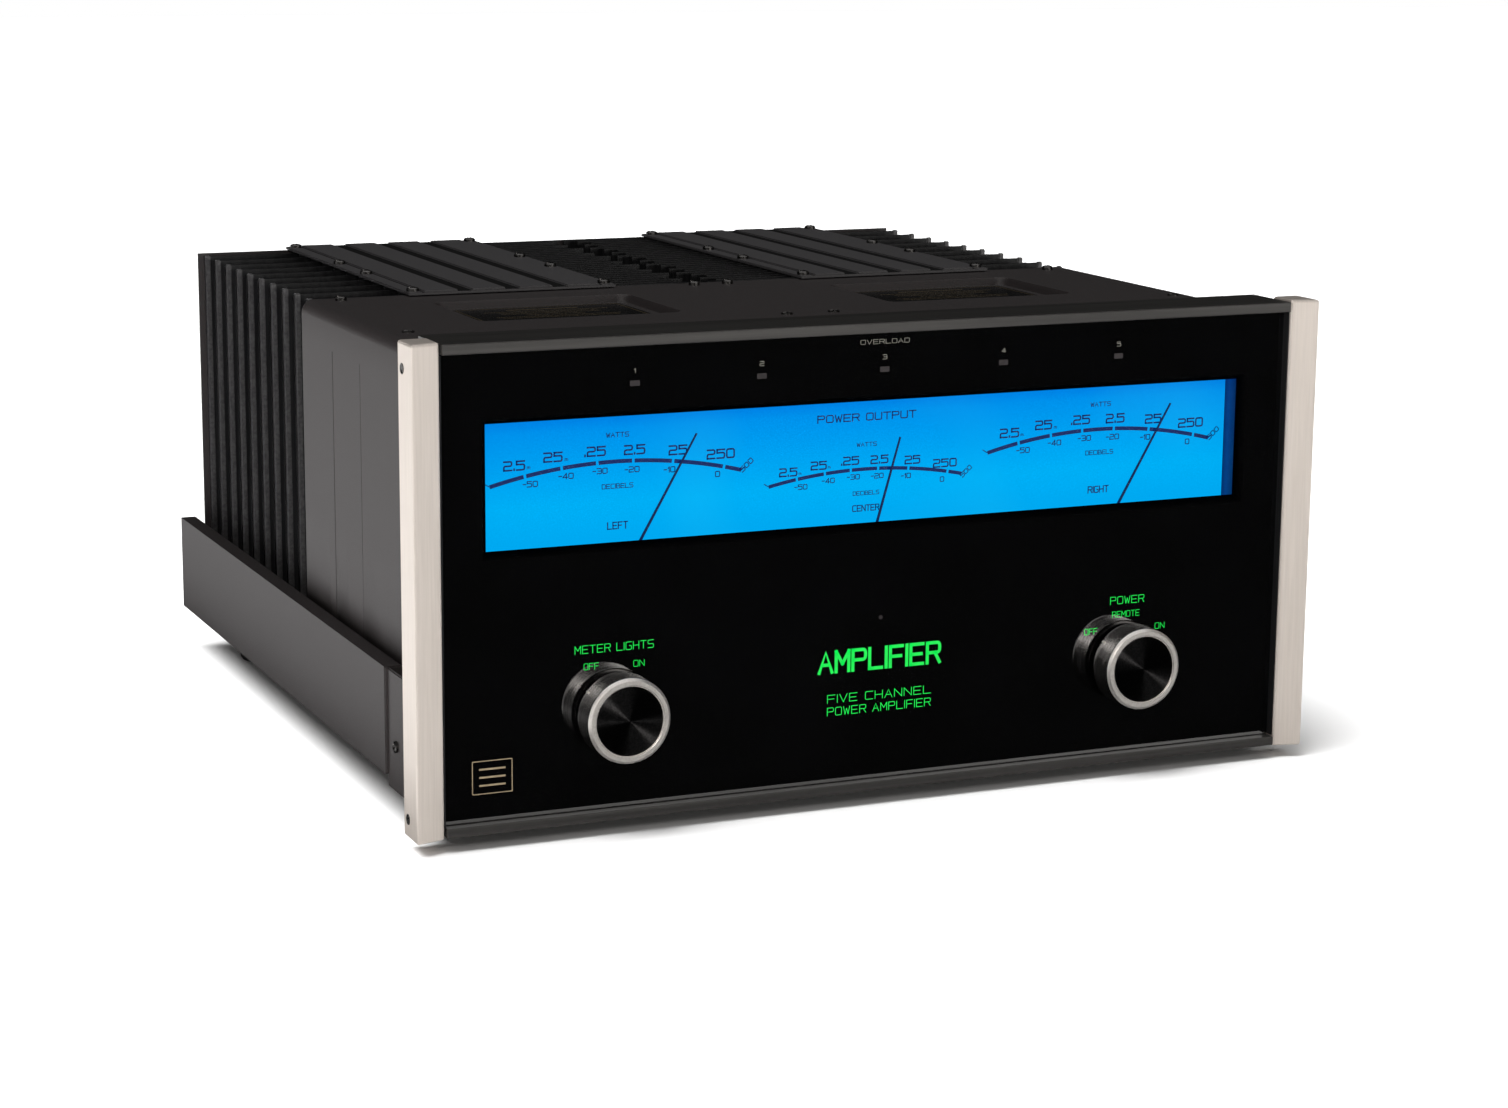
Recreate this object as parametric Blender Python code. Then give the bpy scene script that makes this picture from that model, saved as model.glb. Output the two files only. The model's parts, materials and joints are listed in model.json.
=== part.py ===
"""Five-channel power amplifier with a lit three-meter front panel.

The part stands on its feet at Z = 0, its front faces -Y, and the origin is at the bottom
centre of its overall box. Every piece hangs on one datum empty that stands under the front
edge of the end caps, so the Y values below are depths behind that edge. Metres throughout.
"""

import math

import bmesh
import bpy
from mathutils import Matrix

# Air kept between two pieces that touch, and between a moving piece and what it runs in.
GAP = 0.0003
RUNNING_GAP = 0.0004

# Front panel: end caps, rails and the glass between them.
PANEL_WIDTH = 0.4445
PANEL_HEIGHT = 0.2155
PANEL_LIFT = 0.006
CAP_THICK = 0.0135
CAP_DEPTH = 0.0195
CAP_SLANT = 0.004
CAP_EDGE = 0.0012
PANEL_SIDE_JOINT = 0.00075
GLASS_SETBACK = 0.0085
GLASS_THICK = 0.0045
GLASS_TOP_MARGIN = 0.0058
GLASS_BOTTOM_MARGIN = 0.0054
RAIL_SETBACK = 0.0025
RAIL_DROP = 0.0008
RAIL_DEPTH = 0.0325
RAIL_SHEET = 0.0024
BOTTOM_RAIL_DEPTH = 0.026
SUBPANEL_Y = 0.020
SUBPANEL_SHEET = 0.0015

# Meter window and the three movements behind it.
WINDOW_INSET = 0.03625
WINDOW_BASE = 0.1231
WINDOW_HEIGHT = 0.0552
METER_INSET = 0.10155
PIVOT_DROP = 0.0201
HOUSING_MARGIN = 0.0025
HOUSING_WALL = 0.0016
HOUSING_DEPTH = 0.042
MOVEMENT_RADIUS = 0.013
MOVEMENT_MARGIN = 0.004
SCALE_STANDOFF = 0.0127
SCALE_THICK = 0.0015
BOARD_THICK = 0.0016
NEEDLE_WIDTH = 0.0007
NEEDLE_THICK = 0.0006
NEEDLE_HUB_RADIUS = 0.003
NEEDLE_HUB_THICK = 0.0025
NEEDLE_SHAFT_RADIUS = 0.001
NEEDLE_SHAFT_LENGTH = 0.011
NEEDLE_TAIL = 0.009
SIDE_NEEDLE_LENGTH = 0.0735
CENTER_NEEDLE_LENGTH = 0.0583
SIDE_NEEDLE_READING = math.radians(30)
CENTER_NEEDLE_READING = math.radians(16)

# Overload lamps above the window, and the lamp board behind the green legend.
LAMP_COUNT = 5
LAMP_WIDTH = 0.0046
LAMP_HEIGHT = 0.0024
LAMP_BASE = 0.193
LAMP_INSET = 0.10285
LAMP_BOARD_HEIGHT = 0.009
LAMP_BOARD_Y = 0.0174
LEGEND_HALF_WIDTH = 0.045
LEGEND_BASE = 0.030
STANDBY_RADIUS = 0.0015

# Knobs and the rotary switches that they turn.
KNOB_INSET = 0.09405
KNOB_BASE = 0.0479
KNOB_RADIUS = 0.0192
KNOB_LENGTH = 0.0144
KNOB_STANDOFF = 0.003
KNOB_CHAMFER = 0.0012
KNOB_UNDERCUT = 0.0015
INLAY_RADIUS = 0.0157
INLAY_THICK = 0.0012
SHAFT_RADIUS = 0.003
SHAFT_IN_KNOB = 0.009
BUSHING_RADIUS = 0.0048
BUSHING_LENGTH = 0.0065
SWITCH_SIZE = 0.026
SWITCH_LENGTH = 0.018
SHAFT_IN_SWITCH = 0.012

# Sheet-metal body.
CHASSIS_DEPTH = 0.427
SHEET = 0.0015
COVER_DROP = 0.007
COVER_DEPTH = 0.2155
COVER_BEND = 0.006
COVER_SKIRT = 0.008
WELL_WIDTH = 0.100
WELL_LENGTH = 0.073
WELL_DEPTH = 0.004
WELL_Y = 0.112
FOOT_HEIGHT = 0.0202
FOOT_RADIUS = 0.019
FOOT_TAPER = 0.002
FOOT_INSET_X = 0.033
FOOT_INSET_Y = 0.040
TRAY_START = 0.059
TRAY_HEIGHT = 0.049
TRAY_STANDOUT = 0.010
TRAY_FLANGE = 0.008
BOTTOM_COVER_INSET = 0.004

# Heatsink modules: two finned extrusions and the ribbed cover over the tunnel between them.
FIN_MARGIN = 0.003
CENTER_GAP = 0.004
TUNNEL_WIDTH = 0.088
HEATSINK_BASE = 0.008
HEATSINK_REAR_GAP = 0.002
FIN_COUNT = 26
FIN_THICK = 0.0024
FIN_STEPS = (0.0, 0.008, 0.003, 0.010, 0.005)
INNER_HEATSINK_LIFT = 0.082
VENT_OVERHANG = 0.0013
VENT_MARGIN = 0.008
VENT_GROOVE = 0.007
VENT_RIB_COUNT = 4
VENT_SHEET = 0.0012
VENT_RISE = 0.0008
VENT_OVERLAP = 0.007

# Inside the body.
TRANSFORMER_WIDTH = 0.124
TRANSFORMER_LENGTH = 0.112
TRANSFORMER_HEIGHT = 0.100
TRANSFORMER_Y = 0.072
CORE_LENGTH = 0.056
WINDING_WIDTH = 0.084
WINDING_LIFT = 0.012
CAPACITOR_RADIUS = 0.034
CAPACITOR_HEIGHT = 0.105
CAPACITOR_SPACING = 0.236
SUPPLY_BOARD_LENGTH = 0.096
AMP_BOARD_HEIGHT = 0.085
AMP_BOARD_MARGIN = 0.004
AMP_BOARD_END_MARGIN = 0.012
RELAY_COUNT = 3
RELAY_WIDTH = 0.020
RELAY_HEIGHT = 0.024

# Rear connectors. Heights are measured from the tray floor.
XLR_COUNT = 5
XLR_PITCH = 0.027
XLR_FIRST = -0.124
XLR_RADIUS = 0.0118
XLR_CAVITY_RADIUS = 0.0096
XLR_CAVITY_DEPTH = 0.012
XLR_PROUD = 0.0015
RCA_COUNT = 5
RCA_PITCH = 0.013
RCA_FIRST = 0.006
RCA_RADIUS = 0.00415
RCA_PROUD = 0.0095
RCA_BORE = 0.0016
TRIGGER_COUNT = 2
TRIGGER_RADIUS = 0.0035
TRIGGER_PROUD = 0.0015
JACK_HEIGHT = 0.0222
RCA_RISE = 0.0075
TRIGGER_DROP = 0.0085
JACK_BOARD_DEPTH = 0.018
JACK_BOARD_MARGIN = 0.002
INLET_X = 0.112
INLET_FLANGE = (0.049, 0.025)
INLET_BODY = (0.0274, 0.0198)
INLET_CAVITY = (0.0244, 0.0168)
INLET_CAVITY_DEPTH = 0.0168
INLET_CHAMFER = 0.0045
INLET_FLANGE_THICK = 0.003
INLET_BODY_DEPTH = 0.020
FUSE_X = 0.0755
FUSE_BODY_RADIUS = 0.0068
FUSE_FLANGE_RADIUS = 0.0083
FUSE_FLANGE_THICK = 0.0015
FUSE_BODY_DEPTH = 0.020
FUSE_BORE_RADIUS = 0.0055
FUSE_CAP_RADIUS = 0.0072
FUSE_CAP_HEAD = 0.008
FUSE_CAP_PLUG = 0.012
STRIP_HALF_WIDTH = 0.128
STRIP_BASE = 0.046
STRIP_HEIGHT = 0.028
STRIP_THICK = 0.005
SPIGOT_MARGIN = 0.008
CHANNEL_COUNT = 5
CHANNEL_PITCH = 0.052
POST_SPACING = 0.019
COLLAR_RADIUS = 0.007
COLLAR_THICK = 0.0025
STUD_RADIUS = 0.0028
NUT_RADIUS = 0.008
NUT_LENGTH = 0.0135
NUT_TRAVEL = 0.005
STUD_END = 0.0015
HOLE_CLEARANCE = 0.0004

# Roundness of turned pieces.
KNOB_SIDES = 48
ROUND_SIDES = 32
SMALL_SIDES = 20
BEND_STEPS = 4

# Heights and half-widths that several pieces share.
PANEL_TOP = PANEL_LIFT + PANEL_HEIGHT
COVER_TOP = PANEL_TOP - COVER_DROP
COVER_HALF = PANEL_WIDTH / 2 - CAP_THICK - PANEL_SIDE_JOINT
GLASS_BOTTOM = PANEL_LIFT + GLASS_BOTTOM_MARGIN
GLASS_TOP = PANEL_TOP - GLASS_TOP_MARGIN
GLASS_BACK = GLASS_SETBACK + GLASS_THICK
TRAY_BASE = FOOT_HEIGHT + GAP + SHEET + GAP
TRAY_FLOOR = TRAY_BASE + SHEET
TRAY_HALF = COVER_HALF + TRAY_STANDOUT
FIN_TIP = COVER_HALF - FIN_MARGIN
MODULE_X = (FIN_TIP + CENTER_GAP / 2) / 2
HEATSINK_TOP = COVER_TOP + GAP
HEATSINK_START = COVER_DEPTH + GAP
HEATSINK_END = CHASSIS_DEPTH - HEATSINK_REAR_GAP
WINDOW_HALF = PANEL_WIDTH / 2 - WINDOW_INSET
WINDOW_BOTTOM = PANEL_LIFT + WINDOW_BASE
WINDOW_TOP = WINDOW_BOTTOM + WINDOW_HEIGHT
METER_X = PANEL_WIDTH / 2 - METER_INSET
PIVOT_Z = WINDOW_BOTTOM - PIVOT_DROP
HOUSING_FRONT = GLASS_BACK + GAP
HOUSING_BACK = HOUSING_FRONT + HOUSING_DEPTH
SCALE_Y = GLASS_BACK + SCALE_STANDOFF
KNOB_X = PANEL_WIDTH / 2 - KNOB_INSET
KNOB_Z = PANEL_LIFT + KNOB_BASE
KNOB_FACE = GLASS_SETBACK - KNOB_STANDOFF - KNOB_LENGTH
REAR_FACE = CHASSIS_DEPTH + SHEET
MOUNT_FACE = REAR_FACE + GAP
COLLAR_FACE = MOUNT_FACE + STRIP_THICK + COLLAR_THICK
STUD_TIP = COLLAR_FACE + GAP + NUT_LENGTH + NUT_TRAVEL + STUD_END
OVERALL_DEPTH = STUD_TIP - KNOB_FACE

# Turned pieces grow along their own +Z, which these turns point to the front or to the rear.
UPRIGHT = (0, 0, 0)
TO_FRONT = (math.pi / 2, 0, 0)
TO_REAR = (-math.pi / 2, 0, 0)

SIDES = {"left": -1, "right": 1}


def clear_scene():
    for old in list(bpy.data.objects):
        bpy.data.objects.remove(old, do_unlink=True)


def finish(name, colour, roughness, metallic=0.0, glow=0.0):
    """A Principled material; glow lights it with its own colour."""
    made = bpy.data.materials.new(name)
    made.use_nodes = True
    shader = made.node_tree.nodes["Principled BSDF"]
    shader.inputs["Base Color"].default_value = (*colour, 1.0)
    shader.inputs["Roughness"].default_value = roughness
    shader.inputs["Metallic"].default_value = metallic
    shader.inputs["Emission Color"].default_value = (*colour, 1.0)
    shader.inputs["Emission Strength"].default_value = glow
    made.diffuse_color = (*colour, 1.0)
    return made


def make_finishes():
    return {
        "champagne": finish("champagne_aluminium", (0.72, 0.65, 0.58), 0.35, 1.0),
        "black_aluminium": finish("black_anodised", (0.02, 0.02, 0.022), 0.42, 0.6),
        "glass": finish("black_glass", (0.01, 0.01, 0.012), 0.05),
        "paint": finish("grey_texture_paint", (0.075, 0.073, 0.072), 0.6),
        "dark_paint": finish("black_paint", (0.025, 0.025, 0.027), 0.5),
        "scale": finish("lit_scale", (0.0, 0.38, 1.0), 0.5, glow=1.5),
        "needle": finish("needle_black", (0.01, 0.02, 0.06), 0.5),
        "knob": finish("dark_chrome", (0.45, 0.45, 0.46), 0.2, 1.0),
        "inlay": finish("spun_black", (0.02, 0.02, 0.02), 0.3, 1.0),
        "steel": finish("zinc_steel", (0.55, 0.56, 0.58), 0.4, 1.0),
        "board": finish("board_green", (0.02, 0.12, 0.05), 0.6),
        "plastic": finish("black_plastic", (0.02, 0.02, 0.02), 0.45),
        "gold": finish("gold_plate", (0.85, 0.62, 0.25), 0.25, 1.0),
        "copper": finish("transformer_varnish", (0.08, 0.05, 0.03), 0.5),
        "sleeve": finish("capacitor_sleeve", (0.03, 0.05, 0.16), 0.4),
        "rubber": finish("foot_rubber", (0.02, 0.02, 0.02), 0.85),
    }


def add_object(name, mesh, place, turn=UPRIGHT, skin=None):
    made = bpy.data.objects.new(name, mesh)
    bpy.context.scene.collection.objects.link(made)
    made.parent = bpy.data.objects["front_datum"]
    made.location = place
    made.rotation_euler = turn
    if skin:
        mesh.materials.append(FINISHES[skin])
    return made


def mesh_from(name, shape):
    bmesh.ops.recalc_face_normals(shape, faces=shape.faces[:])
    mesh = bpy.data.meshes.new(name)
    shape.to_mesh(mesh)
    shape.free()
    return mesh


def slab(name, x, y, z, skin=None):
    """A box between two values on each axis, with its origin at its centre."""
    shape = bmesh.new()
    bmesh.ops.create_cube(shape, size=1.0)
    bmesh.ops.scale(shape, vec=(x[1] - x[0], y[1] - y[0], z[1] - z[0]), verts=shape.verts[:])
    centre = [(low + high) / 2 for low, high in (x, y, z)]
    return add_object(name, mesh_from(name, shape), centre, skin=skin)


def extrusion(name, outline, length, place, turn=UPRIGHT, skin=None):
    """A flat outline in its own XY plane, drawn out along its own +Z."""
    shape = bmesh.new()
    face = shape.faces.new([shape.verts.new((x, y, 0)) for x, y in outline])
    drawn = bmesh.ops.extrude_face_region(shape, geom=[face])
    top = [item for item in drawn["geom"] if isinstance(item, bmesh.types.BMVert)]
    bmesh.ops.translate(shape, vec=(0, 0, length), verts=top)
    return add_object(name, mesh_from(name, shape), place, turn, skin)


def turned(name, profile, place, turn=UPRIGHT, skin=None, sides=ROUND_SIDES, ring=False):
    """A profile of (radius, height) points turned about +Z; a ring closes its profile on itself."""
    shape = bmesh.new()
    rows = []
    for radius, height in profile:
        if radius == 0:
            rows.append([shape.verts.new((0, 0, height))] * sides)
            continue
        angles = [2 * math.pi * step / sides for step in range(sides)]
        circle = [(radius * math.cos(a), radius * math.sin(a), height) for a in angles]
        rows.append([shape.verts.new(point) for point in circle])
    pairs = list(zip(rows, rows[1:]))
    if ring:
        pairs.append((rows[-1], rows[0]))
    for low, high in pairs:
        for step in range(sides):
            after = (step + 1) % sides
            corners = [low[step], low[after], high[after], high[step]]
            shape.faces.new(list(dict.fromkeys(corners)))
    mesh = mesh_from(name, shape)
    mesh.shade_smooth()
    mesh.set_sharp_from_angle(angle=math.radians(35))
    return add_object(name, mesh, place, turn, skin)


def rod(name, radius, low, high, place, turn=UPRIGHT, skin=None, sides=SMALL_SIDES):
    return turned(name, [(0, low), (radius, low), (radius, high), (0, high)], place, turn, skin, sides)


def boolean(target, tool, operation):
    tool.hide_render = True
    tool.display_type = "WIRE"
    change = target.modifiers.new(f"{operation.lower()}_{tool.name}", "BOOLEAN")
    change.operation = operation
    change.object = tool


def cut(target, tool):
    boolean(target, tool, "DIFFERENCE")


def weld(target, tool):
    boolean(target, tool, "UNION")


def soften(target, width, segments=2):
    """Rounds the sharp edges of a piece."""
    edges = target.modifiers.new("soft_edges", "BEVEL")
    edges.width = width
    edges.segments = segments
    edges.limit_method = "ANGLE"


def arc(centre, radius, start, end, steps):
    """Points of a circular arc between two angles in degrees, both ends included."""
    angles = [math.radians(start + (end - start) * step / steps) for step in range(steps + 1)]
    return [(centre[0] + radius * math.cos(a), centre[1] + radius * math.sin(a)) for a in angles]


# ---------------------------------------------------------------- front panel


def end_caps():
    """Two extruded pillars whose front face falls back towards the glass."""
    for side, sign in SIDES.items():
        outer = sign * PANEL_WIDTH / 2
        inner = sign * (PANEL_WIDTH / 2 - CAP_THICK)
        outline = [(outer, 0), (outer, CAP_DEPTH), (inner, CAP_DEPTH), (inner, CAP_SLANT)]
        cap = extrusion(f"end_cap_{side}", outline, PANEL_HEIGHT, (0, 0, PANEL_LIFT), skin="champagne")
        soften(cap, CAP_EDGE)


def front_glass():
    edges = (GLASS_SETBACK, GLASS_BACK)
    glass = slab("front_glass", (-COVER_HALF, COVER_HALF), edges, (GLASS_BOTTOM, GLASS_TOP), "glass")
    for side, sign in SIDES.items():
        radius = BUSHING_RADIUS + HOLE_CLEARANCE
        reach = GLASS_THICK
        at = (sign * KNOB_X, GLASS_SETBACK, KNOB_Z)
        cut(glass, rod(f"glass_hole_{side}", radius, -reach, 2 * reach, at, TO_REAR))


def panel_rails():
    """The top rail hooks over the glass and runs back to the cover; the bottom rail is a bar under it."""
    top = PANEL_TOP - RAIL_DROP
    lip_bottom = GLASS_TOP + GAP
    back = RAIL_SETBACK + RAIL_DEPTH
    outline = [
        (RAIL_SETBACK, lip_bottom),
        (GLASS_BACK, lip_bottom),
        (GLASS_BACK, top - RAIL_SHEET),
        (back, top - RAIL_SHEET),
        (back, top),
        (RAIL_SETBACK, top),
    ]
    length = 2 * COVER_HALF
    along_x = (math.pi / 2, 0, math.pi / 2)
    rail = extrusion("panel_top_rail", outline, length, (-COVER_HALF, 0, 0), along_x, "black_aluminium")
    soften(rail, RAIL_DROP / 2)
    bar_y = (RAIL_SETBACK, RAIL_SETBACK + BOTTOM_RAIL_DEPTH)
    bar_z = (PANEL_LIFT + RAIL_DROP, GLASS_BOTTOM - GAP)
    bar = slab("panel_bottom_rail", (-COVER_HALF, COVER_HALF), bar_y, bar_z, "black_aluminium")
    soften(bar, RAIL_DROP / 2)


def front_subpanel():
    """Steel sheet behind the glass, open for the meter housing and bored for the switch bushings."""
    half = COVER_HALF - SHEET - GAP
    low = PANEL_LIFT + COVER_SKIRT
    high = COVER_TOP - SHEET - GAP
    bend = COVER_BEND - SHEET - GAP
    outline = [(half, low), *arc((half - bend, high - bend), bend, 0, 90, BEND_STEPS)]
    outline += [*arc((bend - half, high - bend), bend, 90, 180, BEND_STEPS), (-half, low)]
    at = (0, SUBPANEL_Y + SUBPANEL_SHEET, 0)
    panel = extrusion("front_subpanel", outline, SUBPANEL_SHEET, at, TO_FRONT, "steel")
    reach = HOUSING_MARGIN + HOUSING_WALL + HOLE_CLEARANCE
    opening = slab(
        "subpanel_opening",
        (-WINDOW_HALF - reach, WINDOW_HALF + reach),
        (SUBPANEL_Y - SHEET, SUBPANEL_Y + 2 * SUBPANEL_SHEET),
        (housing_bottom() - HOUSING_WALL - HOLE_CLEARANCE, WINDOW_TOP + reach),
    )
    cut(panel, opening)
    for side, sign in SIDES.items():
        radius = BUSHING_RADIUS + HOLE_CLEARANCE
        at = (sign * KNOB_X, SUBPANEL_Y, KNOB_Z)
        cut(panel, rod(f"subpanel_hole_{side}", radius, -SHEET, 2 * SHEET, at, TO_REAR))


# ---------------------------------------------------------------- meters


def housing_bottom():
    """Height of the housing's inner floor, below the movements."""
    return PIVOT_Z - MOVEMENT_RADIUS - MOVEMENT_MARGIN


def meter_housing():
    inner_half = WINDOW_HALF + HOUSING_MARGIN
    inner_top = WINDOW_TOP + HOUSING_MARGIN
    outer_x = (-inner_half - HOUSING_WALL, inner_half + HOUSING_WALL)
    outer_z = (housing_bottom() - HOUSING_WALL, inner_top + HOUSING_WALL)
    housing = slab("meter_housing", outer_x, (HOUSING_FRONT, HOUSING_BACK), outer_z, "dark_paint")
    inner_y = (HOUSING_FRONT - HOUSING_WALL, HOUSING_BACK - HOUSING_WALL)
    cut(housing, slab("housing_hollow", (-inner_half, inner_half), inner_y, (housing_bottom(), inner_top)))


def meter_plates():
    """The printed scale plate, with a hole for each needle shaft, and the lamp board behind it."""
    half = WINDOW_HALF + HOUSING_MARGIN - RUNNING_GAP
    low = housing_bottom() + RUNNING_GAP
    high = WINDOW_TOP + HOUSING_MARGIN - RUNNING_GAP
    plate = slab("meter_scale_plate", (-half, half), (SCALE_Y, SCALE_Y + SCALE_THICK), (low, high), "scale")
    for place, x in meter_places().items():
        radius = NEEDLE_SHAFT_RADIUS + SCALE_THICK
        at = (x, SCALE_Y, PIVOT_Z)
        cut(plate, rod(f"scale_hole_{place}", radius, -SCALE_THICK, 2 * SCALE_THICK, at, TO_REAR))
    board_back = HOUSING_BACK - HOUSING_WALL - GAP
    slab(
        "meter_light_board",
        (-WINDOW_HALF, WINDOW_HALF),
        (board_back - BOARD_THICK, board_back),
        (PIVOT_Z + MOVEMENT_RADIUS + MOVEMENT_MARGIN, WINDOW_TOP),
        "board",
    )


def meter_places():
    return {"left": -METER_X, "center": 0.0, "right": METER_X}


def meter_movements():
    """A drum behind the scale plate at each pivot, bored for the needle shaft."""
    length = HOUSING_BACK - HOUSING_WALL - GAP - (SCALE_Y + SCALE_THICK + GAP)
    bore = NEEDLE_SHAFT_RADIUS + RUNNING_GAP
    profile = [
        (0, NEEDLE_SHAFT_LENGTH),
        (bore, NEEDLE_SHAFT_LENGTH),
        (bore, 0),
        (MOVEMENT_RADIUS, 0),
        (MOVEMENT_RADIUS, length),
        (0, length),
    ]
    for place, x in meter_places().items():
        at = (x, SCALE_Y + SCALE_THICK + GAP, PIVOT_Z)
        turned(f"meter_movement_{place}", profile, at, TO_REAR, "plastic", SMALL_SIDES)


def meter_needles():
    """A tapered pointer on a hub, whose shaft runs back through the scale plate into the movement."""
    hub_y = SCALE_Y - GAP - NEEDLE_HUB_THICK
    blade_lift = (NEEDLE_HUB_THICK - NEEDLE_THICK) / 2
    lengths = {"left": SIDE_NEEDLE_LENGTH, "center": CENTER_NEEDLE_LENGTH, "right": SIDE_NEEDLE_LENGTH}
    for place, x in meter_places().items():
        reading = CENTER_NEEDLE_READING if place == "center" else SIDE_NEEDLE_READING
        at = (x, hub_y, PIVOT_Z)
        # The needle's own +Z runs to the rear and its own -Y points up the dial.
        turn = (-math.pi / 2, reading, 0)
        hub = rod(f"meter_needle_{place}", NEEDLE_HUB_RADIUS, 0, NEEDLE_HUB_THICK, at, turn, "needle")
        outline = [
            (-NEEDLE_WIDTH, NEEDLE_TAIL),
            (NEEDLE_WIDTH, NEEDLE_TAIL),
            (NEEDLE_WIDTH / 2, -lengths[place]),
            (-NEEDLE_WIDTH / 2, -lengths[place]),
        ]
        blade = extrusion(f"needle_blade_{place}", outline, NEEDLE_THICK, at, turn)
        blade.data.transform(Matrix.Translation((0, 0, blade_lift)))
        weld(hub, blade)
        end = NEEDLE_HUB_THICK + NEEDLE_SHAFT_LENGTH
        weld(hub, rod(f"needle_shaft_{place}", NEEDLE_SHAFT_RADIUS, blade_lift, end, at, turn, sides=12))


def lamp_board():
    """Five overload lamps that reach forward from one board to the back of the glass."""
    reach = PANEL_WIDTH / 2 - LAMP_INSET
    z = PANEL_LIFT + LAMP_BASE
    low, high = z - LAMP_BOARD_HEIGHT / 2, z + LAMP_BOARD_HEIGHT / 2
    board_y = (LAMP_BOARD_Y, LAMP_BOARD_Y + BOARD_THICK)
    half = reach + LAMP_BOARD_HEIGHT
    board = slab("overload_lamp_board", (-half, half), board_y, (low, high), "board")
    for index in range(LAMP_COUNT):
        x = -reach + 2 * reach * index / (LAMP_COUNT - 1)
        lamp = slab(
            f"lamp_{index + 1}",
            (x - LAMP_WIDTH / 2, x + LAMP_WIDTH / 2),
            (GLASS_BACK + GAP, LAMP_BOARD_Y + BOARD_THICK / 2),
            (z - LAMP_HEIGHT / 2, z + LAMP_HEIGHT / 2),
        )
        weld(board, lamp)


def legend_board():
    """Lamp board behind the green legend, with the standby lamp at its top."""
    low = PANEL_LIFT + LEGEND_BASE
    high = housing_bottom() - HOUSING_WALL - BOARD_THICK
    board_y = (LAMP_BOARD_Y, LAMP_BOARD_Y + BOARD_THICK)
    board_x = (-LEGEND_HALF_WIDTH, LEGEND_HALF_WIDTH)
    board = slab("legend_light_board", board_x, board_y, (low, high), "board")
    lamp_length = LAMP_BOARD_Y + BOARD_THICK / 2 - GLASS_BACK - GAP
    at = (0, GLASS_BACK + GAP, high - 2 * STANDBY_RADIUS)
    weld(board, rod("standby_lamp", STANDBY_RADIUS, 0, lamp_length, at, TO_REAR))


# ---------------------------------------------------------------- knobs


def knob_groups():
    """Each knob with its inlay, its shaft and the rotary switch behind the subpanel."""
    lights = ("lights", -KNOB_X)
    power = ("power", KNOB_X)
    for label, x in (lights, power):
        knob(label, x)
        switch(label, x)


def knob(label, x):
    recess = KNOB_LENGTH - INLAY_THICK - 2 * GAP
    bore = SHAFT_RADIUS + GAP
    rim = KNOB_RADIUS - KNOB_CHAMFER
    profile = [
        (0, SHAFT_IN_KNOB + GAP),
        (bore, SHAFT_IN_KNOB + GAP),
        (bore, 0),
        (KNOB_RADIUS - KNOB_UNDERCUT, 0),
        (KNOB_RADIUS - KNOB_UNDERCUT, KNOB_UNDERCUT),
        (KNOB_RADIUS, KNOB_UNDERCUT),
        (KNOB_RADIUS, KNOB_LENGTH - KNOB_CHAMFER),
        (rim, KNOB_LENGTH),
        (INLAY_RADIUS + GAP, KNOB_LENGTH),
        (INLAY_RADIUS + GAP, recess),
        (0, recess),
    ]
    back = GLASS_SETBACK - KNOB_STANDOFF
    at = (x, back, KNOB_Z)
    turned(f"{label}_knob", profile, at, TO_FRONT, "knob", KNOB_SIDES)
    disc = [(0, 0), (INLAY_RADIUS, 0), (INLAY_RADIUS, INLAY_THICK), (0, INLAY_THICK)]
    turned(f"{label}_knob_inlay", disc, (x, back - recess - GAP, KNOB_Z), TO_FRONT, "inlay", KNOB_SIDES)
    length = SUBPANEL_Y + SUBPANEL_SHEET + GAP + SHAFT_IN_SWITCH - back
    rod(f"{label}_switch_shaft", SHAFT_RADIUS, -length, SHAFT_IN_KNOB, at, TO_FRONT, "steel")


def switch(label, x):
    front = SUBPANEL_Y + SUBPANEL_SHEET + GAP
    half = SWITCH_SIZE / 2
    body_z = (KNOB_Z - half, KNOB_Z + half)
    body = slab(f"{label}_switch", (x - half, x + half), (front, front + SWITCH_LENGTH), body_z, "plastic")
    at = (x, front, KNOB_Z)
    weld(body, rod(f"{label}_bushing", BUSHING_RADIUS, -GAP, BUSHING_LENGTH, at, TO_FRONT))
    reach = SHAFT_IN_SWITCH + RUNNING_GAP
    bore = SHAFT_RADIUS + RUNNING_GAP
    cut(body, rod(f"{label}_switch_bore", bore, -reach, 2 * BUSHING_LENGTH, at, TO_FRONT))


# ---------------------------------------------------------------- sheet metal


def bent_channel(half, height, bend, sheet):
    """Outline of an inverted U of sheet metal with rounded corners, open end at Y = 0."""
    inside = bend - sheet
    right, left = (half - bend, height - bend), (bend - half, height - bend)
    outer = arc(right, bend, 0, 90, BEND_STEPS) + arc(left, bend, 90, 180, BEND_STEPS)
    inner = arc(left, inside, 180, 90, BEND_STEPS) + arc(right, inside, 90, 0, BEND_STEPS)
    legs_out = [(half, 0), *outer, (-half, 0)]
    legs_in = [(sheet - half, 0), *inner, (half - sheet, 0)]
    return legs_out + legs_in


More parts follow.
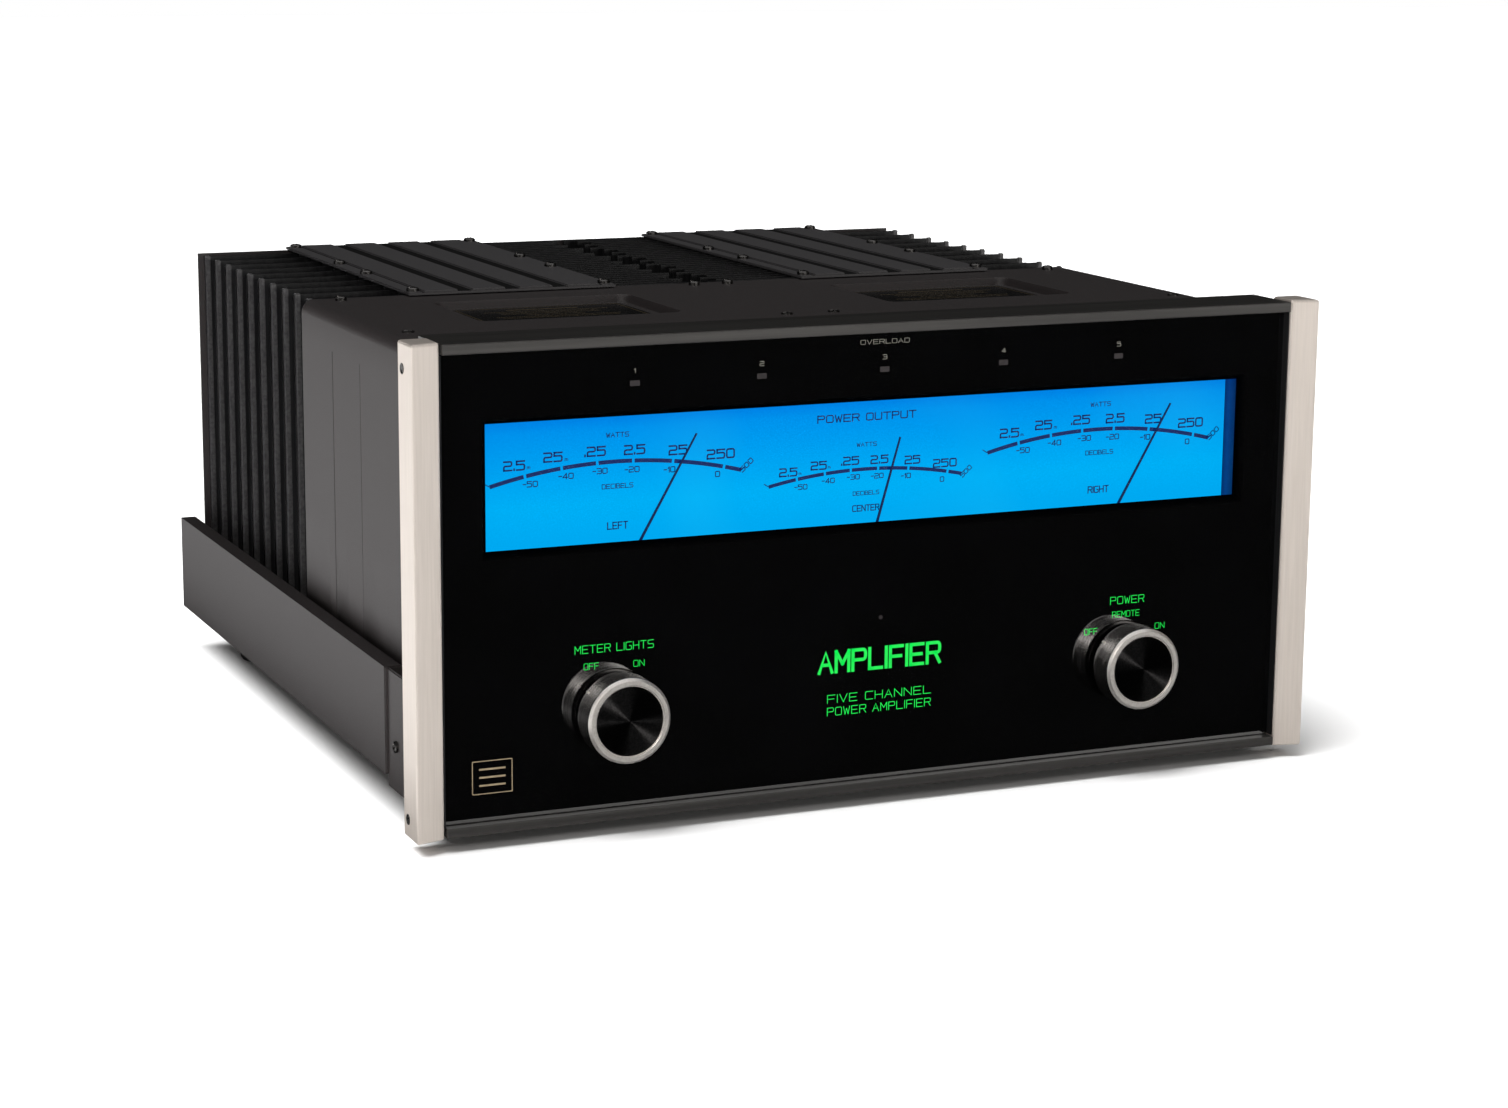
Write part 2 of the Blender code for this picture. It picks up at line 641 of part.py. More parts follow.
def front_cover():
    """Bent cover behind the panel, with two pressed wells in its top and skirts that clear the tray."""
    low = PANEL_LIFT + COVER_SKIRT
    height = COVER_TOP - low
    start = SUBPANEL_Y
    outline = bent_channel(COVER_HALF, height, COVER_BEND, SHEET)
    cover = extrusion("front_cover", outline, COVER_DEPTH - start, (0, COVER_DEPTH, low), TO_FRONT, "paint")
    for side, sign in SIDES.items():
        x = sign * MODULE_X
        pan_x = (x - WELL_WIDTH / 2 - SHEET, x + WELL_WIDTH / 2 + SHEET)
        pan_y = (WELL_Y - SHEET, WELL_Y + WELL_LENGTH + SHEET)
        pan = slab(f"well_pan_{side}", pan_x, pan_y, (COVER_TOP - WELL_DEPTH - SHEET, COVER_TOP - SHEET / 2))
        weld(cover, pan)
        well_x = (x - WELL_WIDTH / 2, x + WELL_WIDTH / 2)
        well_y = (WELL_Y, WELL_Y + WELL_LENGTH)
        cut(cover, slab(f"well_{side}", well_x, well_y, (COVER_TOP - WELL_DEPTH, COVER_TOP + SHEET)))
    reach = COVER_HALF + SHEET
    skirt_top = TRAY_FLOOR + GAP
    notch_y = (TRAY_START - SHEET, COVER_DEPTH + SHEET)
    cut(cover, slab("cover_notch", (-reach, reach), notch_y, (low - SHEET, skirt_top)))


def chassis_tray():
    """Tray with side channels along the body, and a tongue that closes the floor up to the panel."""
    high = TRAY_BASE + TRAY_HEIGHT
    start, end = TRAY_START, REAR_FACE
    half = TRAY_HALF
    flange = half - TRAY_FLANGE
    wall = half - SHEET
    outline = [
        (-half, TRAY_BASE),
        (half, TRAY_BASE),
        (half, high),
        (flange, high),
        (flange, high - SHEET),
        (wall, high - SHEET),
        (wall, TRAY_FLOOR),
        (-wall, TRAY_FLOOR),
        (-wall, high - SHEET),
        (-flange, high - SHEET),
        (-flange, high),
        (-half, high),
    ]
    tray = extrusion("chassis_tray", outline, end - start, (0, end, 0), TO_FRONT, "paint")
    tongue_half = COVER_HALF - SHEET - GAP
    tongue_y = (SUBPANEL_Y + SUBPANEL_SHEET + GAP, start + SHEET)
    weld(tray, slab("tray_tongue", (-tongue_half, tongue_half), tongue_y, (TRAY_BASE, TRAY_FLOOR)))


def bottom_cover_and_feet():
    half = TRAY_HALF - BOTTOM_COVER_INSET
    start = TRAY_START + BOTTOM_COVER_INSET
    end = CHASSIS_DEPTH - BOTTOM_COVER_INSET
    low = FOOT_HEIGHT + GAP
    slab("bottom_cover", (-half, half), (start, end), (low, low + SHEET), "dark_paint")
    sole = FOOT_RADIUS - FOOT_TAPER
    profile = [(0, 0), (sole, 0), (FOOT_RADIUS, FOOT_TAPER), (FOOT_RADIUS, FOOT_HEIGHT), (0, FOOT_HEIGHT)]
    for row, y in {"front": start + FOOT_INSET_Y, "rear": end - FOOT_INSET_Y}.items():
        for side, sign in SIDES.items():
            at = (sign * (half - FOOT_INSET_X), y, 0)
            turned(f"foot_{row}_{side}", profile, at, skin="rubber", sides=SMALL_SIDES)


# ---------------------------------------------------------------- heatsink modules


def comb_outline(reach):
    """Outline of a finned extrusion: the base lies on X = 0 and the fins run to +X, some cut shorter."""
    length = HEATSINK_END - HEATSINK_START
    pitch = (length - FIN_THICK) / (FIN_COUNT - 1)
    outline = [(0, length), (0, 0)]
    for index in range(FIN_COUNT):
        tip = reach - FIN_STEPS[index % len(FIN_STEPS)]
        low = index * pitch
        high = low + FIN_THICK
        if index > 0:
            outline.append((HEATSINK_BASE, low))
        outline += [(tip, low), (tip, high)]
        if index < FIN_COUNT - 1:
            outline.append((HEATSINK_BASE, high))
    return outline


def heatsinks():
    reach = FIN_TIP - MODULE_X - TUNNEL_WIDTH / 2
    outline = comb_outline(reach)
    for side, sign in SIDES.items():
        for place, way in {"outer": sign, "inner": -sign}.items():
            lift = TRAY_FLOOR + GAP
            if place == "inner":
                lift += INNER_HEATSINK_LIFT
            base_x = sign * MODULE_X + way * TUNNEL_WIDTH / 2
            points = [(way * x, y) for x, y in outline]
            at = (base_x, HEATSINK_START, lift)
            extrusion(f"heatsink_{side}_{place}", points, HEATSINK_TOP - lift, at, skin="black_aluminium")


def vent_covers():
    """Ribbed sheet over each tunnel, screwed to the two heatsink bases beside it."""
    half = TUNNEL_WIDTH / 2 + HEATSINK_BASE + VENT_OVERHANG
    grooves = (VENT_RIB_COUNT - 1) * VENT_GROOVE
    rib = (2 * (half - VENT_MARGIN) - grooves) / VENT_RIB_COUNT
    flat, raised = VENT_SHEET, VENT_SHEET + VENT_RISE
    slope = VENT_RISE
    top = [(-half, flat)]
    for index in range(VENT_RIB_COUNT):
        low = -half + VENT_MARGIN + index * (rib + VENT_GROOVE)
        high = low + rib
        top += [(low, flat), (low + slope, raised), (high - slope, raised), (high, flat)]
    top.append((half, flat))
    outline = [(half, 0), *reversed(top), (-half, 0)]
    start = COVER_DEPTH - VENT_OVERLAP
    end = CHASSIS_DEPTH
    for side, sign in SIDES.items():
        at = (sign * MODULE_X, end, HEATSINK_TOP + GAP)
        extrusion(f"vent_cover_{side}", outline, end - start, at, TO_FRONT, "paint")


# ---------------------------------------------------------------- inside the body


def power_supply():
    low = TRAY_FLOOR + GAP
    middle = TRANSFORMER_Y + TRANSFORMER_LENGTH / 2
    half_core, half_winding = TRANSFORMER_WIDTH / 2, WINDING_WIDTH / 2
    core_y = (middle - CORE_LENGTH / 2, middle + CORE_LENGTH / 2)
    core_z = (low, low + TRANSFORMER_HEIGHT)
    core = slab("power_transformer", (-half_core, half_core), core_y, core_z, "copper")
    winding_y = (TRANSFORMER_Y, TRANSFORMER_Y + TRANSFORMER_LENGTH)
    winding_z = (low + WINDING_LIFT, low + TRANSFORMER_HEIGHT - WINDING_LIFT)
    weld(core, slab("transformer_winding", (-half_winding, half_winding), winding_y, winding_z))
    for side, sign in SIDES.items():
        at = (sign * CAPACITOR_SPACING / 2, middle, low)
        rod(f"filter_capacitor_{side}", CAPACITOR_RADIUS, 0, CAPACITOR_HEIGHT, at, skin="sleeve")
    board_half = CAPACITOR_SPACING / 2 + CAPACITOR_RADIUS
    board_y = (middle - SUPPLY_BOARD_LENGTH / 2, middle + SUPPLY_BOARD_LENGTH / 2)
    board_z = low + CAPACITOR_HEIGHT + GAP
    slab("power_supply_board", (-board_half, board_half), board_y, (board_z, board_z + BOARD_THICK), "board")


def amplifier_boards():
    """One board along each tunnel, with a row of output relays standing on it."""
    half = TUNNEL_WIDTH / 2 - AMP_BOARD_MARGIN
    start, end = HEATSINK_START + AMP_BOARD_END_MARGIN, HEATSINK_END - AMP_BOARD_END_MARGIN
    low = TRAY_FLOOR + AMP_BOARD_HEIGHT
    relay_half = RELAY_WIDTH / 2
    for side, sign in SIDES.items():
        x = sign * MODULE_X
        edges = ((x - half, x + half), (start, end), (low, low + BOARD_THICK))
        board = slab(f"amp_board_{side}", *edges, "board")
        for index in range(RELAY_COUNT):
            y = start + (index + 0.5) * (end - start) / RELAY_COUNT
            relay = slab(
                f"relay_{side}_{index + 1}",
                (x - relay_half, x + relay_half),
                (y - relay_half, y + relay_half),
                (low + BOARD_THICK / 2, low + RELAY_HEIGHT),
            )
            weld(board, relay)


# ---------------------------------------------------------------- rear panel


def jack_places():
    """Name, X, height above the tray floor, barrel radius, reach beyond the panel and bore of each jack."""
    places = []
    for index in range(XLR_COUNT):
        x = XLR_FIRST + index * XLR_PITCH
        cavity = (XLR_CAVITY_RADIUS, XLR_CAVITY_DEPTH)
        places.append((f"xlr_{index + 1}", x, JACK_HEIGHT, XLR_RADIUS, XLR_PROUD, *cavity))
    for index in range(RCA_COUNT):
        x = RCA_FIRST + index * RCA_PITCH
        height = JACK_HEIGHT + RCA_RISE
        places.append((f"rca_{index + 1}", x, height, RCA_RADIUS, RCA_PROUD, RCA_BORE, RCA_PROUD))
    for index in range(TRIGGER_COUNT):
        x = RCA_FIRST + (1 + 2 * index) * RCA_PITCH
        height = JACK_HEIGHT - TRIGGER_DROP
        places.append((f"trigger_{index + 1}", x, height, TRIGGER_RADIUS, TRIGGER_PROUD, RCA_BORE, RCA_PROUD))
    return places


def post_places():
    """X of each binding post, named by channel and polarity."""
    places = {}
    for index in range(CHANNEL_COUNT):
        middle = (index - (CHANNEL_COUNT - 1) / 2) * CHANNEL_PITCH
        places[f"ch{index + 1}_negative"] = middle - POST_SPACING / 2
        places[f"ch{index + 1}_positive"] = middle + POST_SPACING / 2
    return places


def rear_panel():
    low = TRAY_FLOOR + GAP
    edges = ((-FIN_TIP, FIN_TIP), (CHASSIS_DEPTH, REAR_FACE), (low, HEATSINK_TOP - GAP))
    panel = slab("rear_panel", *edges, "paint")
    through = (-SHEET, 2 * SHEET)
    for name, x, height, radius, *_ in jack_places():
        at = (x, CHASSIS_DEPTH, TRAY_FLOOR + height)
        cut(panel, rod(f"panel_hole_{name}", radius + HOLE_CLEARANCE, *through, at, TO_REAR))
    at = (FUSE_X, CHASSIS_DEPTH, TRAY_FLOOR + JACK_HEIGHT)
    cut(panel, rod("panel_hole_fuse", FUSE_BODY_RADIUS + HOLE_CLEARANCE, *through, at, TO_REAR))
    deep = (CHASSIS_DEPTH - SHEET, REAR_FACE + SHEET)
    half_x, half_z = (size / 2 + HOLE_CLEARANCE for size in INLET_BODY)
    z = TRAY_FLOOR + JACK_HEIGHT
    cut(panel, slab("panel_hole_inlet", (INLET_X - half_x, INLET_X + half_x), deep, (z - half_z, z + half_z)))
    spigot_x, spigot_z = spigot_edges()
    clear_x = (spigot_x[0] - HOLE_CLEARANCE, spigot_x[1] + HOLE_CLEARANCE)
    clear_z = (spigot_z[0] - HOLE_CLEARANCE, spigot_z[1] + HOLE_CLEARANCE)
    cut(panel, slab("panel_hole_strip", clear_x, deep, clear_z))


def spigot_edges():
    """X and Z edges of the raised back of the terminal strip, which fills a slot in the panel."""
    low = TRAY_FLOOR + STRIP_BASE + SPIGOT_MARGIN
    high = TRAY_FLOOR + STRIP_BASE + STRIP_HEIGHT - SPIGOT_MARGIN
    half = STRIP_HALF_WIDTH - SPIGOT_MARGIN
    return (-half, half), (low, high)


def speaker_terminals():
    """One moulded strip with ten studs, and a clamping nut on each."""
    strip_x = (-STRIP_HALF_WIDTH, STRIP_HALF_WIDTH)
    low = TRAY_FLOOR + STRIP_BASE
    strip_y = (MOUNT_FACE, MOUNT_FACE + STRIP_THICK)
    strip = slab("speaker_terminal_strip", strip_x, strip_y, (low, low + STRIP_HEIGHT), "plastic")
    spigot_x, spigot_z = spigot_edges()
    weld(strip, slab("strip_spigot", spigot_x, (CHASSIS_DEPTH - SHEET, MOUNT_FACE + SHEET), spigot_z))
    z = low + STRIP_HEIGHT / 2
    bore = STUD_RADIUS + RUNNING_GAP
    stud_length = STUD_TIP - COLLAR_FACE
    sunk = -COLLAR_THICK - STRIP_THICK / 2
    collar = [(0, sunk), (COLLAR_RADIUS, sunk), (COLLAR_RADIUS, 0)]
    stud = [*collar, (STUD_RADIUS, 0), (STUD_RADIUS, stud_length), (0, stud_length)]
    nut = [(bore, 0), (NUT_RADIUS, 0), (NUT_RADIUS, NUT_LENGTH), (bore, NUT_LENGTH)]
    for name, x in post_places().items():
        weld(strip, turned(f"stud_{name}", stud, (x, COLLAR_FACE, z), TO_REAR, sides=SMALL_SIDES))
        at = (x, COLLAR_FACE + GAP, z)
        turned(f"terminal_nut_{name}", nut, at, TO_REAR, "gold", SMALL_SIDES, ring=True)


def input_jacks():
    """Input board inside the rear panel; its jack barrels pass through the panel's holes."""
    z = TRAY_FLOOR + JACK_HEIGHT
    front = CHASSIS_DEPTH - JACK_BOARD_DEPTH
    edge = XLR_RADIUS + JACK_BOARD_MARGIN
    last = RCA_FIRST + (RCA_COUNT - 1) * RCA_PITCH
    board_x = (XLR_FIRST - edge, last + RCA_RADIUS + JACK_BOARD_MARGIN)
    board = slab("input_jack_board", board_x, (front, front + BOARD_THICK), (z - edge, z + edge), "board")
    sunk = front + BOARD_THICK / 2 - REAR_FACE
    for name, x, height, radius, proud, bore, bore_depth in jack_places():
        bottom = proud - bore_depth
        barrel = [(0, sunk), (radius, sunk), (radius, proud), (bore, proud), (bore, bottom), (0, bottom)]
        at = (x, REAR_FACE, TRAY_FLOOR + height)
        weld(board, turned(f"barrel_{name}", barrel, at, TO_REAR, sides=SMALL_SIDES))


def mains_inlet():
    z = TRAY_FLOOR + JACK_HEIGHT
    face = MOUNT_FACE + INLET_FLANGE_THICK

    def across(size):
        return (INLET_X - size[0] / 2, INLET_X + size[0] / 2), (z - size[1] / 2, z + size[1] / 2)

    flange_x, flange_z = across(INLET_FLANGE)
    inlet = slab("mains_inlet", flange_x, (MOUNT_FACE, face), flange_z, "plastic")
    body_x, body_z = across(INLET_BODY)
    body_y = (CHASSIS_DEPTH - INLET_BODY_DEPTH, MOUNT_FACE + INLET_FLANGE_THICK / 2)
    weld(inlet, slab("inlet_body", body_x, body_y, body_z))
    half_x, half_z = INLET_CAVITY[0] / 2, INLET_CAVITY[1] / 2
    corner = INLET_CHAMFER
    mouth = [
        (-half_x, -half_z),
        (half_x, -half_z),
        (half_x, half_z - corner),
        (half_x - corner, half_z),
        (corner - half_x, half_z),
        (-half_x, half_z - corner),
    ]
    depth = INLET_CAVITY_DEPTH + SHEET
    cut(inlet, extrusion("inlet_cavity", mouth, depth, (INLET_X, face + SHEET, z), TO_FRONT))


def fuse():
    """Panel fuse holder and its bayonet cap."""
    z = TRAY_FLOOR + JACK_HEIGHT
    flange = FUSE_FLANGE_THICK
    head = FUSE_FLANGE_RADIUS
    bottom = -SHEET - GAP - FUSE_BODY_DEPTH
    bore_bottom = flange - FUSE_CAP_PLUG - RUNNING_GAP
    profile = [
        (0, bottom),
        (FUSE_BODY_RADIUS, bottom),
        (FUSE_BODY_RADIUS, 0),
        (head, 0),
        (head, flange),
        (FUSE_BORE_RADIUS, flange),
        (FUSE_BORE_RADIUS, bore_bottom),
        (0, bore_bottom),
    ]
    at = (FUSE_X, MOUNT_FACE, z)
    turned("fuse_holder", profile, at, TO_REAR, "plastic", SMALL_SIDES)
    plug = FUSE_BORE_RADIUS - RUNNING_GAP
    head_edge = [(FUSE_CAP_RADIUS, 0), (FUSE_CAP_RADIUS, FUSE_CAP_HEAD)]
    cap = [(0, -FUSE_CAP_PLUG), (plug, -FUSE_CAP_PLUG), (plug, 0), *head_edge, (0, FUSE_CAP_HEAD)]
    turned("fuse_cap", cap, (FUSE_X, MOUNT_FACE + flange + GAP, z), TO_REAR, "plastic", SMALL_SIDES)


def build():
    datum = bpy.data.objects.new("front_datum", None)
    bpy.context.scene.collection.objects.link(datum)
    datum.location = (0, -OVERALL_DEPTH / 2 - KNOB_FACE, 0)
    end_caps()
    front_glass()
    panel_rails()
    front_subpanel()
    meter_housing()
    meter_plates()
    meter_movements()
    meter_needles()
    lamp_board()
    legend_board()
    knob_groups()
    front_cover()
    chassis_tray()
    bottom_cover_and_feet()
    heatsinks()
    vent_covers()
    power_supply()
    amplifier_boards()
    rear_panel()
    speaker_terminals()
    input_jacks()
    mains_inlet()
    fuse()


clear_scene()
FINISHES = make_finishes()
build()
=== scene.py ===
"""Looks of a five-channel power amplifier: finishes, printing, knobs, sheet metal, screws and sockets.

Metres throughout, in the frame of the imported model: +Z up, the front panel faces -Y.
"""

import json
import math

import bmesh
import bpy
from mathutils import Matrix, Vector


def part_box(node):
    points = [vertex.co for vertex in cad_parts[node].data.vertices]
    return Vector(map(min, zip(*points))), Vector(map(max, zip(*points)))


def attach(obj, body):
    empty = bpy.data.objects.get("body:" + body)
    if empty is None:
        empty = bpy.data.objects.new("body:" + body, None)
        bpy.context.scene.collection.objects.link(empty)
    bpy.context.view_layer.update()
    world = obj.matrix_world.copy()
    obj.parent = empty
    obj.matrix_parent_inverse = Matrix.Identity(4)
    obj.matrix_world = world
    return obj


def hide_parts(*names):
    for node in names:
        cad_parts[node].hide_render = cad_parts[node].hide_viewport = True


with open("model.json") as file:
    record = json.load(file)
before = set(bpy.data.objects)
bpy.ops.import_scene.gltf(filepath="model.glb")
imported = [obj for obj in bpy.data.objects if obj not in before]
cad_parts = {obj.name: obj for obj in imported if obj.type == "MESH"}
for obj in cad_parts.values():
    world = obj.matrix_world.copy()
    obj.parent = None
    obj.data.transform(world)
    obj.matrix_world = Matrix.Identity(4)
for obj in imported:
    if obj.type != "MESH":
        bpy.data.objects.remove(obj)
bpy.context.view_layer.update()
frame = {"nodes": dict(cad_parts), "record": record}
nodes = frame["nodes"]
joints = {joint["name"]: joint for joint in frame["record"]["behaviour"]["joints"]}

BODY = "chassis"

# ---------------------------------------------------------------- materials


def set_inputs(node, inputs):
    for socket, value in inputs.items():
        node.inputs[socket].default_value = value


def new_material(name, inputs):
    """A node material and its Principled shader, with some of the shader's inputs set."""
    material = bpy.data.materials.new(name)
    material.use_nodes = True
    shader = material.node_tree.nodes["Principled BSDF"]
    set_inputs(shader, inputs)
    return material, shader


def link(material, source, output, target, socket):
    material.node_tree.links.new(source.outputs[output], target.inputs[socket])


def add_node(material, kind, inputs=None, **values):
    node = material.node_tree.nodes.new(kind)
    for key, value in values.items():
        setattr(node, key, value)
    set_inputs(node, inputs or {})
    return node


def add_range(material, source, output, span, limits=(0.0, 1.0)):
    """Maps one span of a node's output to another."""
    inputs = {"From Min": span[0], "From Max": span[1], "To Min": limits[0], "To Max": limits[1]}
    spread = add_node(material, "ShaderNodeMapRange", inputs)
    link(material, source, output, spread, "Value")
    return spread


def add_ramp(material, source, output, stops):
    """Colour ramp along a node's output, from stops in rising order."""
    ramp = add_node(material, "ShaderNodeValToRGB")
    elements = ramp.color_ramp.elements
    first, *middle, last = stops
    for element, (position, colour) in zip(elements, (first, last)):
        element.position, element.color = position, (*colour, 1)
    for position, colour in middle:
        elements.new(position).color = (*colour, 1)
    link(material, source, output, ramp, "Fac")
    return ramp


def add_place(material):
    """The object's own coordinates, split into X, Y and Z."""
    place = add_node(material, "ShaderNodeTexCoord")
    split = add_node(material, "ShaderNodeSeparateXYZ")
    link(material, place, "Object", split, "Vector")
    return split


def add_math(material, operation, source, other):
    """Arithmetic on a node's value and a number or another node's value."""
    node = add_node(material, "ShaderNodeMath", operation=operation)
    link(material, source[0], source[1], node, 0)
    if isinstance(other, float):
        node.inputs[1].default_value = other
    else:
        link(material, other, "Value", node, 1)
    return node


def pattern(material, scale, stretch=(1, 1, 1), detail=3.0):
    """Noise in the object's own coordinates, stretched by a factor along each axis."""
    place = add_node(material, "ShaderNodeTexCoord")
    mapping = add_node(material, "ShaderNodeMapping", {"Scale": stretch})
    noise = add_node(material, "ShaderNodeTexNoise", {"Scale": scale, "Detail": detail, "Roughness": 0.55})
    link(material, place, "Object", mapping, "Vector")
    link(material, mapping, "Vector", noise, "Vector")
    return noise


def tint(material, shader, noise, dark, light, socket="Base Color"):
    """Colour that wanders between two tones with the noise."""
    ramp = add_ramp(material, noise, "Fac", ((0.35, dark), (0.65, light)))
    link(material, ramp, "Color", shader, socket)


def vary(material, shader, noise, low, high):
    """Roughness that wanders between two limits with the noise."""
    spread = add_range(material, noise, "Fac", (0.3, 0.7), (low, high))
    link(material, spread, "Result", shader, "Roughness")


def relief(material, shader, source, output, depth):
    """Bump of a given depth in metres, for texture that is finer than the mesh."""
    bump = add_node(material, "ShaderNodeBump", {"Distance": depth})
    link(material, source, output, bump, "Height")
    link(material, bump, "Normal", shader, "Normal")


def plain_finish(name, dark, light, rough, metal=0.0, grain=900.0, stretch=(1, 1, 1), depth=0.0, spec=0.5):
    """The usual finish: two close tones, a little change in gloss, and a fine relief."""
    material, shader = new_material(name, {"Metallic": metal, "Specular IOR Level": spec})
    noise = pattern(material, grain, stretch)
    tint(material, shader, noise, dark, light)
    vary(material, shader, noise, *rough)
    if depth:
        relief(material, shader, noise, "Fac", depth)
    return material


def perforated(name, pitch):
    """Black sheet, pressed deep and darker than the paint around it, with rows of fine vent holes drawn as
    near-black spots: painted shade of the dark inside seen through them.
    """
    material, shader = new_material(name, {"Roughness": 0.85, "Specular IOR Level": 0.12})
    place = add_node(material, "ShaderNodeTexCoord")
    holes = add_node(material, "ShaderNodeTexVoronoi", {"Scale": 1 / pitch, "Randomness": 0.0}, feature="F1")
    link(material, place, "Object", holes, "Vector")
    edge = add_range(material, holes, "Distance", (0.28, 0.36))
    tones = ((0.0, (0.0015, 0.0015, 0.0015)), (1.0, (0.0080, 0.0078, 0.0078)))
    ramp = add_ramp(material, edge, "Result", tones)
    link(material, ramp, "Color", shader, "Base Color")
    relief(material, shader, edge, "Result", 0.0005)
    return material


def lit_print(name, colour, strength):
    """Glowing ink: an even glow whose tone changes slightly from letter to letter. It is back-lit print on the
    glass and the scale, and painted light on the needle.
    """
    unlit = (*[0.1 * part for part in colour], 1)
    inputs = {"Base Color": unlit, "Roughness": 0.5, "Emission Strength": strength}
    material, shader = new_material(name, inputs)
    dark = [0.86 * part for part in colour]
    tint(material, shader, pattern(material, 300.0), dark, colour, "Emission Color")
    return material


def scale_light():
    """Back-lit scale: even azure, bluer towards its top edge, with faint paler patches above each lamp."""
    inputs = {"Base Color": (0.0, 0.02, 0.05, 1), "Specular IOR Level": 0.0, "Roughness": 0.6}
    material, shader = new_material("lit_scale", {**inputs, "Emission Strength": 1.0})
    low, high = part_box("meter_scale_plate")
    rise = add_range(material, add_place(material), "Z", (low[2], high[2]))
    tones = [(0.0, (0.0, 0.37, 0.90)), (0.55, (0.0, 0.445, 0.95))]
    tones += [(0.90, (0.0, 0.29, 0.86)), (1.0, (0.0, 0.16, 0.74))]
    ramp = add_ramp(material, rise, "Result", tones)
    share = add_range(material, pattern(material, 14.0, detail=1.0), "Fac", (0.48, 0.75))
    # The mix node has a socket of each name for every data type, so its colour sockets go by number.
    amount, base, added, result = 0, 6, 7, 2
    pale = add_node(
        material, "ShaderNodeMix", {added: (0.004, 0.04, 0.01, 1)}, data_type="RGBA", blend_type="ADD"
    )
    link(material, share, "Result", pale, amount)
    link(material, ramp, "Color", pale, base)
    link(material, pale, result, shader, "Emission Color")
    return material


def housing_glow():
    """Inside of the meter housing: painted light, a navy glow where the scale would light it, darker towards the
    glass.

    The glow is kept to the space within the housing's walls, so its outside is unlit.
    """
    material, shader = new_material("housing_painted_glow", {"Base Color": (0.002, 0.004, 0.02, 1)})
    split = add_place(material)
    depth = add_range(material, split, "Y", (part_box("front_glass")[1][1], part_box("meter_scale_plate")[0][1]))
    tones = ((0.30, (0.0, 0.007, 0.065)), (0.75, (0.0, 0.028, 0.17)), (1.0, (0.0, 0.012, 0.10)))
    ramp = add_ramp(material, depth, "Result", tones)
    link(material, ramp, "Color", shader, "Emission Color")
    skin = 0.0002
    inside = None
    for axis, low, high in zip("XYZ", *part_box("meter_housing")):
        offset = add_math(material, "SUBTRACT", (split, axis), (low + high) / 2)
        size = add_math(material, "ABSOLUTE", (offset, "Value"), 0.0)
        within = add_math(material, "LESS_THAN", (size, "Value"), (high - low) / 2 - skin)
        inside = add_math(material, "MULTIPLY", (inside, "Value"), within) if inside else within
    link(material, inside, "Value", shader, "Emission Strength")
    vary(material, shader, pattern(material, 300.0), 0.5, 0.65)
    return material


def pane_glass():
    """Clear pane: almost all of it is seen through, and what is left is a faint sharp reflection."""
    material, shader = new_material("window_glass", {"Base Color": (0, 0, 0, 1), "Alpha": 0.04})
    vary(material, shader, pattern(material, 60.0), 0.0, 0.012)
    return material


def panel_black():
    """Glass painted black behind: a deep black with a clear, sharp reflection."""
    material, shader = new_material("panel_black_glass", {"IOR": GLASS_GLOSS})
    noise = pattern(material, 40.0)
    tint(material, shader, noise, (0.0006, 0.0006, 0.0007), (0.0012, 0.0012, 0.0014))
    vary(material, shader, noise, 0.0, 0.012)
    return material


def spun(name, dark, light, rough, ring_pitch):
    """Turned metal: fine rings about the knob's axis, with a highlight that fans out from the middle."""
    inputs = {"Metallic": 1.0, "Anisotropic": 1.0, "Anisotropic Rotation": 0.25}
    material, shader = new_material(name, inputs)
    tangent = add_node(material, "ShaderNodeTangent", direction_type="RADIAL", axis="Y")
    link(material, tangent, "Tangent", shader, "Tangent")
    noise = pattern(material, ring_pitch, detail=2.0)
    tint(material, shader, noise, dark, light)
    vary(material, shader, noise, *rough)
    return material


GLASS_GLOSS = 3.0
CHAMPAGNE = plain_finish(
    "champagne_aluminium", (0.688, 0.618, 0.558), (0.744, 0.670, 0.609), (0.36, 0.46), 0.35,
    900.0, (1, 1, 0.03), 0.00001
)
PAINT = plain_finish(
    "grey_paint", (0.034, 0.0335, 0.0335), (0.047, 0.035, 0.035), (0.44, 0.56), 0.0, 1500.0, depth=0.00012
)
DARK_PAINT = plain_finish(
    "black_paint", (0.010, 0.010, 0.011), (0.017, 0.017, 0.018), (0.45, 0.6), 0.0, 1500.0, depth=0.0001
)
ANODISED = plain_finish(
    "black_anodised", (0.012, 0.012, 0.013), (0.024, 0.024, 0.025), (0.30, 0.42), 0.4,
    600.0, (1, 1, 0.01), 0.00003
)
# A lighter copy of the black anodised finish for the fin tips: a painted highlight along each bead.
FIN_TIP_HIGHLIGHT = plain_finish("fin_tip_painted_highlight", (0.085, 0.083, 0.085), (0.14, 0.137, 0.14), (0.30, 0.40), 0.5, 600.0)
RAIL_BLACK = plain_finish(
    "rail_black", (0.050, 0.048, 0.046), (0.070, 0.067, 0.064), (0.28, 0.38), 0.4,
    600.0, (0.01, 1, 1), 0.00001
)
STEEL = plain_finish(
    "steel", (0.42, 0.42, 0.43), (0.55, 0.55, 0.56), (0.28, 0.42), 1.0, 700.0, (0.05, 1, 1), 0.00001
)
SCREW = plain_finish("screw_steel", (0.085, 0.08, 0.078), (0.15, 0.145, 0.14), (0.24, 0.34), 1.0, 900.0)
RIB_PAINT = plain_finish(
    "rib_paint", (0.066, 0.063, 0.066), (0.092, 0.088, 0.091), (0.42, 0.54), 0.0, 1500.0, depth=0.00012
)
